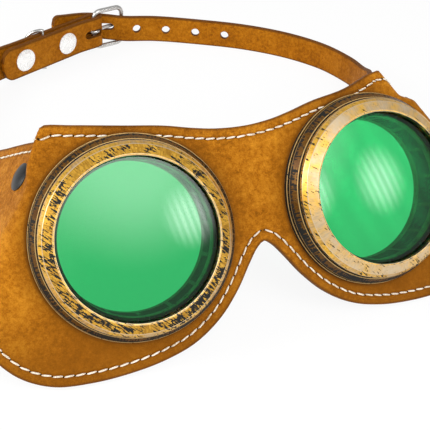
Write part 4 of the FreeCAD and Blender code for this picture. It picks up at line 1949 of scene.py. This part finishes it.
    def build_punched_strap(self) -> None:
        """Strap from the right wing round the back, through the buckle, to the tip outside."""
        right = Side.RIGHT
        flat = self.width / 2 + 0.1
        stations = self.tab(right, self.width)
        for x, y, z, share in ((94.5, 96, 18.0, 0.3), (101, 114.5, 10.9, 0.08), (103.6, 131, 7.4, 0.0),
                               (99.5, 148, flat, 0.0), (88.5, 164, flat, 0.0), (72, 179, flat, 0.0),
                               (51, 191.5, flat + 0.2, 0.0), (31.5, 198.6, flat + 1.4, 0.0)):
            stations.append(self.station(Vector((x, y, z)), right, share, self.width))
        for x, y, z in ((13.6, -6.1, -1.4), (8.5, -1.3, -0.6), (3.5, 3.5, 0.1), (-1.5, 5.8, 1.0),
                        (-7, 6.6, 2.0), (-13.5, 6.7, 3.3), (-20, 6.8, 4.8)):
            stations.append(self.station(self.by_bar(x, y, z), right, 0.0, self.width))
        strap = self.ribbon("punched_strap_leather", stations, 4.0)
        for centre, outward in ((Vector((22.5, 200.6, 8.8)), Vector((0.15, 1, 0))),
                                (Vector((36.8, 197.1, 7.5)), Vector((0.32, 1, 0))),
                                (Vector((50.6, 191.7, 6.7)), Vector((0.5, 1, 0))),
                                (Vector((63.6, 184.7, 6.5)), Vector((0.6, 1, 0))),
                                (self.by_bar(-14, 6.8, 3.4), self.way(0, 1))):
            self.punch(strap, centre, outward, (2 * self.hole, 2 * self.hole))
        self.punch(strap, self.by_bar(6.7, 0.3), self.way(0.682, 0.731), (9.4, 3.4))
        self.finish(strap, "punched_strap")

    def build_rivets(self) -> None:
        """Black rivets on the wings and nickel rivets on the buckle strap."""
        for side in Side:
            for (back, up), level in zip(self.rivets, ("upper", "lower")):
                spot = self.face.wing(side, back, up, 0.0)
                outward = (spot - self.face.wing(side, back, up, 1.0)).normalized()
                run = (self.face.wing(side, back + 1, up, 0.0) - spot).normalized()
                word = "wing_rivet_%s_%s" % (side.word, level)
                Rivet(word + "_cap", word, self.standing(spot, run, outward), self.wing_cap,
                      self.leather + self.thickness, self.finishes.gunmetal, "black_metal").build()
        for x, word in ((-19, "near"), (-44, "far")):
            spot = self.by_bar(x, self.layer + self.thickness / 2)
            place = self.standing(spot, self.way(1, 0), self.way(0, 1))
            Rivet("strap_rivet_%s_cap" % word, "strap_rivet_" + word, place, self.strap_cap,
                  self.strap_grip, self.finishes.nickel, "nickel").build()

    def standing(self, spot: Vector, run: Vector, outward: Vector) -> Matrix:
        """Row-frame matrix, in millimetres, of a piece that stands on a table-frame point."""
        return axes_at(run, outward.cross(run).normalized(), outward, spot + self.face.origin)

    def by_frame(self, x: float, y: float, z: float) -> Vector:
        """Point beside the buckle frame.

        Args:
            x: distance along the frame, mm.
            y: distance away from the head, mm.
            z: height, mm.

        Returns:
            Row-frame point in metres.
        """
        turn = math.radians(self.frame_turn)
        return self.face.table(self.by_bar(x * math.cos(turn) - y * math.sin(turn),
                                           x * math.sin(turn) + y * math.cos(turn), z))

    def build_buckle(self) -> None:
        """Wire frame with rounded corners, a tongue hooked on its bar, and the keeper ring."""
        corner = self.frame_corner
        far = self.frame_length - corner
        high = self.frame_half - corner
        path = []
        for x, z, start in ((far, high, 90), (far, -high, 0), (corner, -high, -90), (corner, high, -180)):
            for turn in sweep(start, -90, 8):
                path.append(self.by_frame(x + corner * math.cos(turn), 0, z + corner * math.sin(turn)))
        buckle = Bench.wire("buckle_wire", path, self.frame_wire * MM, True)
        reach = self.frame_length + self.tongue_past
        rest = self.frame_wire + self.tongue_rise
        hook = self.tongue_hook
        loop = [self.by_frame(hook * math.cos(turn), hook * math.sin(turn), 0) for turn in sweep(80, 280, 7)]
        prong = [self.by_frame(3.0, 0.25, 0), self.by_frame(reach * 0.5, rest * 0.45, 0),
                 self.by_frame(reach, rest, 0)]
        tongue = Bench.wire("tongue_wire", through([*loop, *prong], 60), self.tongue_wire * MM, False)
        drop = math.radians(self.ring_turn)
        ring = []
        for turn in sweep(-90, 180, 32):
            out = self.ring * math.cos(turn)
            x, y = self.ring_spot
            spot = self.by_bar(x + out * math.cos(drop), y + out * math.sin(drop), self.ring * math.sin(turn))
            ring.append(self.face.table(spot))
        keeper = Bench.wire("keeper_wire", ring, self.ring_wire * MM, True)
        for piece, body, node in ((buckle, "buckle", "buckle_frame"), (tongue, "tongue", "buckle_tongue"),
                                  (keeper, "keeper", "keeper_ring")):
            Bench.soften(piece, 60)
            dress(piece, self.finishes.wire, "nickel", body, node)

    def build(self) -> None:
        """Build and dress the straps and their metal."""
        self.build_buckle_strap()
        self.build_punched_strap()
        self.build_rivets()
        self.build_buckle()


# Studio


@dataclass(frozen=True)
class Lamp:
    """Rectangular soft light that fades towards its edges.

    Attributes:
        name: name of the lamp.
        place: its middle, metres.
        aim: point that it faces, metres.
        size: its width and height, metres.
        watts: its power.
        slats: number of dimmer lines across it.
        slat_size: slats in one unit of the wave that draws them.
        slat_light: light left in the dimmer lines.
        middle_light: light in the middle, of which nothing is left at the edge.
        middle_size: distance from the middle at which the light starts to fade, in sizes of the lamp.
    """

    name: str
    place: Triple
    aim: Triple
    size: Point
    watts: float
    slats: int = 0
    slat_size: float = 3.2
    slat_light: float = 0.55
    middle_light: float = 2.4
    middle_size: float = 0.08

    def build(self) -> None:
        """Build the lamp and turn it to its aim."""
        light = bpy.data.lights.new(self.name, "AREA")
        light.shape = "RECTANGLE"
        light.size, light.size_y = self.size
        light.energy = self.watts
        desk = Desk(light)
        spot = desk.add("NewGeometry").outputs["Parametric"]
        off = desk.add("VectorMath", {0: spot, 1: (0.5, 0.5, 0.0)}, operation="DISTANCE").outputs["Value"]
        shine = desk.between(off, self.middle_size, 0.5, self.middle_light, 0.0)
        if self.slats:
            wave = desk.add("TexWave", {"Vector": spot, "Scale": self.slats / self.slat_size})
            dim = desk.add("MapRange", {"Value": wave.outputs["Fac"], "To Min": self.slat_light})
            shine = desk.math("MULTIPLY", shine, dim.outputs["Result"])
        desk.plug(desk.tree.nodes["Emission"], "Strength", shine)
        way = Vector(self.aim) - Vector(self.place)
        turn = way.to_track_quat("-Z", "Y").to_matrix().to_4x4()
        Bench.placed(self.name, light).matrix_world = Matrix.Translation(self.place) @ turn


@dataclass
class Studio:
    """Pale floor, soft light and the camera."""

    eye: Triple = (-0.10605, -0.2838, 0.1948)
    forward: Triple = (0.323, 0.736, -0.595)
    up: Triple = (0.192, 0.564, 0.803)
    focal: float = 876.5
    image: int = 430
    sky: float = 0.46
    floor_size: float = 8.0
    floor_grey: float = 0.92
    floor_glow: float = 0.90
    lamps: tuple[Lamp, ...] = (
        Lamp("key", (-0.37, -0.60, 0.55), (-0.02, -0.09, 0.03), (0.85, 0.85), 1.1),
        Lamp("top", (0.05, -0.48, 0.50), (-0.04, -0.09, 0.04), (0.72, 0.72), 3.5),
        Lamp("side", (-0.80, 0.0, 0.45), (-0.05, -0.08, 0.03), (0.6, 0.6), 7.2),
        Lamp("right_window", (0.497, -0.657, 0.373), (0.034, -0.095, 0.041), (0.24, 0.28), 0.8, 9),
        Lamp("left_window", (0.235, -0.738, 0.437), (-0.031, -0.094, 0.043), (0.22, 0.26), 0.7, 9),
    )

    def camera(self) -> None:
        """Camera at the photograph's place."""
        lens = bpy.data.cameras.new("camera")
        lens.sensor_width = 36.0
        lens.lens = self.focal / self.image * lens.sensor_width
        lens.clip_start = 0.01
        eye = Bench.placed("camera", lens)
        back = -Vector(self.forward).normalized()
        right = Vector(self.up).cross(back).normalized()
        eye.matrix_world = axes_at(right, back.cross(right), back, self.eye)
        bpy.context.scene.camera = eye

    def floor(self) -> None:
        """White floor that shows plain to the camera, to metal and through glass."""
        Bench.clear()
        bpy.ops.mesh.primitive_plane_add(size=self.floor_size, location=(0, 0, 0))
        plane = Bench.named("floor")
        desk = Desk.blank("white_floor")
        path = desk.add("LightPath")
        seen = desk.math("MAXIMUM", path.outputs["Is Camera Ray"], path.outputs["Is Glossy Ray"])
        seen = desk.math("MAXIMUM", seen, path.outputs["Is Transmission Ray"])
        paper = desk.add("BsdfDiffuse", {"Color": (self.floor_grey,) * 3})
        glow = desk.add("Emission", {"Color": (1, 1, 1), "Strength": 1.0})
        share = desk.math("MULTIPLY", seen, self.floor_glow)
        mixed = desk.add("MixShader", {0: share, 1: paper.outputs[0], 2: glow.outputs[0]})
        plane.data.materials.append(desk.cover(mixed.outputs[0]))

    def world(self) -> None:
        """Even light all round, plain white behind the goggles."""
        world = bpy.data.worlds.new("studio")
        desk = Desk(world)
        seen = desk.add("LightPath").outputs["Is Camera Ray"]
        level = desk.add("MapRange", {"Value": seen, "To Min": self.sky}).outputs["Result"]
        ground = desk.tree.nodes["Background"]
        desk.plug(ground, "Color", (1, 1, 1))
        desk.plug(ground, "Strength", level)
        bpy.context.scene.world = world

    def build(self) -> None:
        """Set up the studio."""
        self.camera()
        self.floor()
        self.world()
        for lamp in self.lamps:
            lamp.build()
        bpy.context.scene.view_settings.view_transform = "Standard"
        log.info("studio ready")


def main() -> None:
    """Build the goggles and the studio."""
    logging.basicConfig(level=logging.INFO, format="%(message)s")
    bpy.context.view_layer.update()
    face = Face()
    finishes = Finishes()
    Mask(face, finishes).build()
    for side in Side:
        Eyecup(face, finishes, side).build()
    Straps(face, finishes).build()
    Studio().build()


if __name__ == "__main__":
    main()
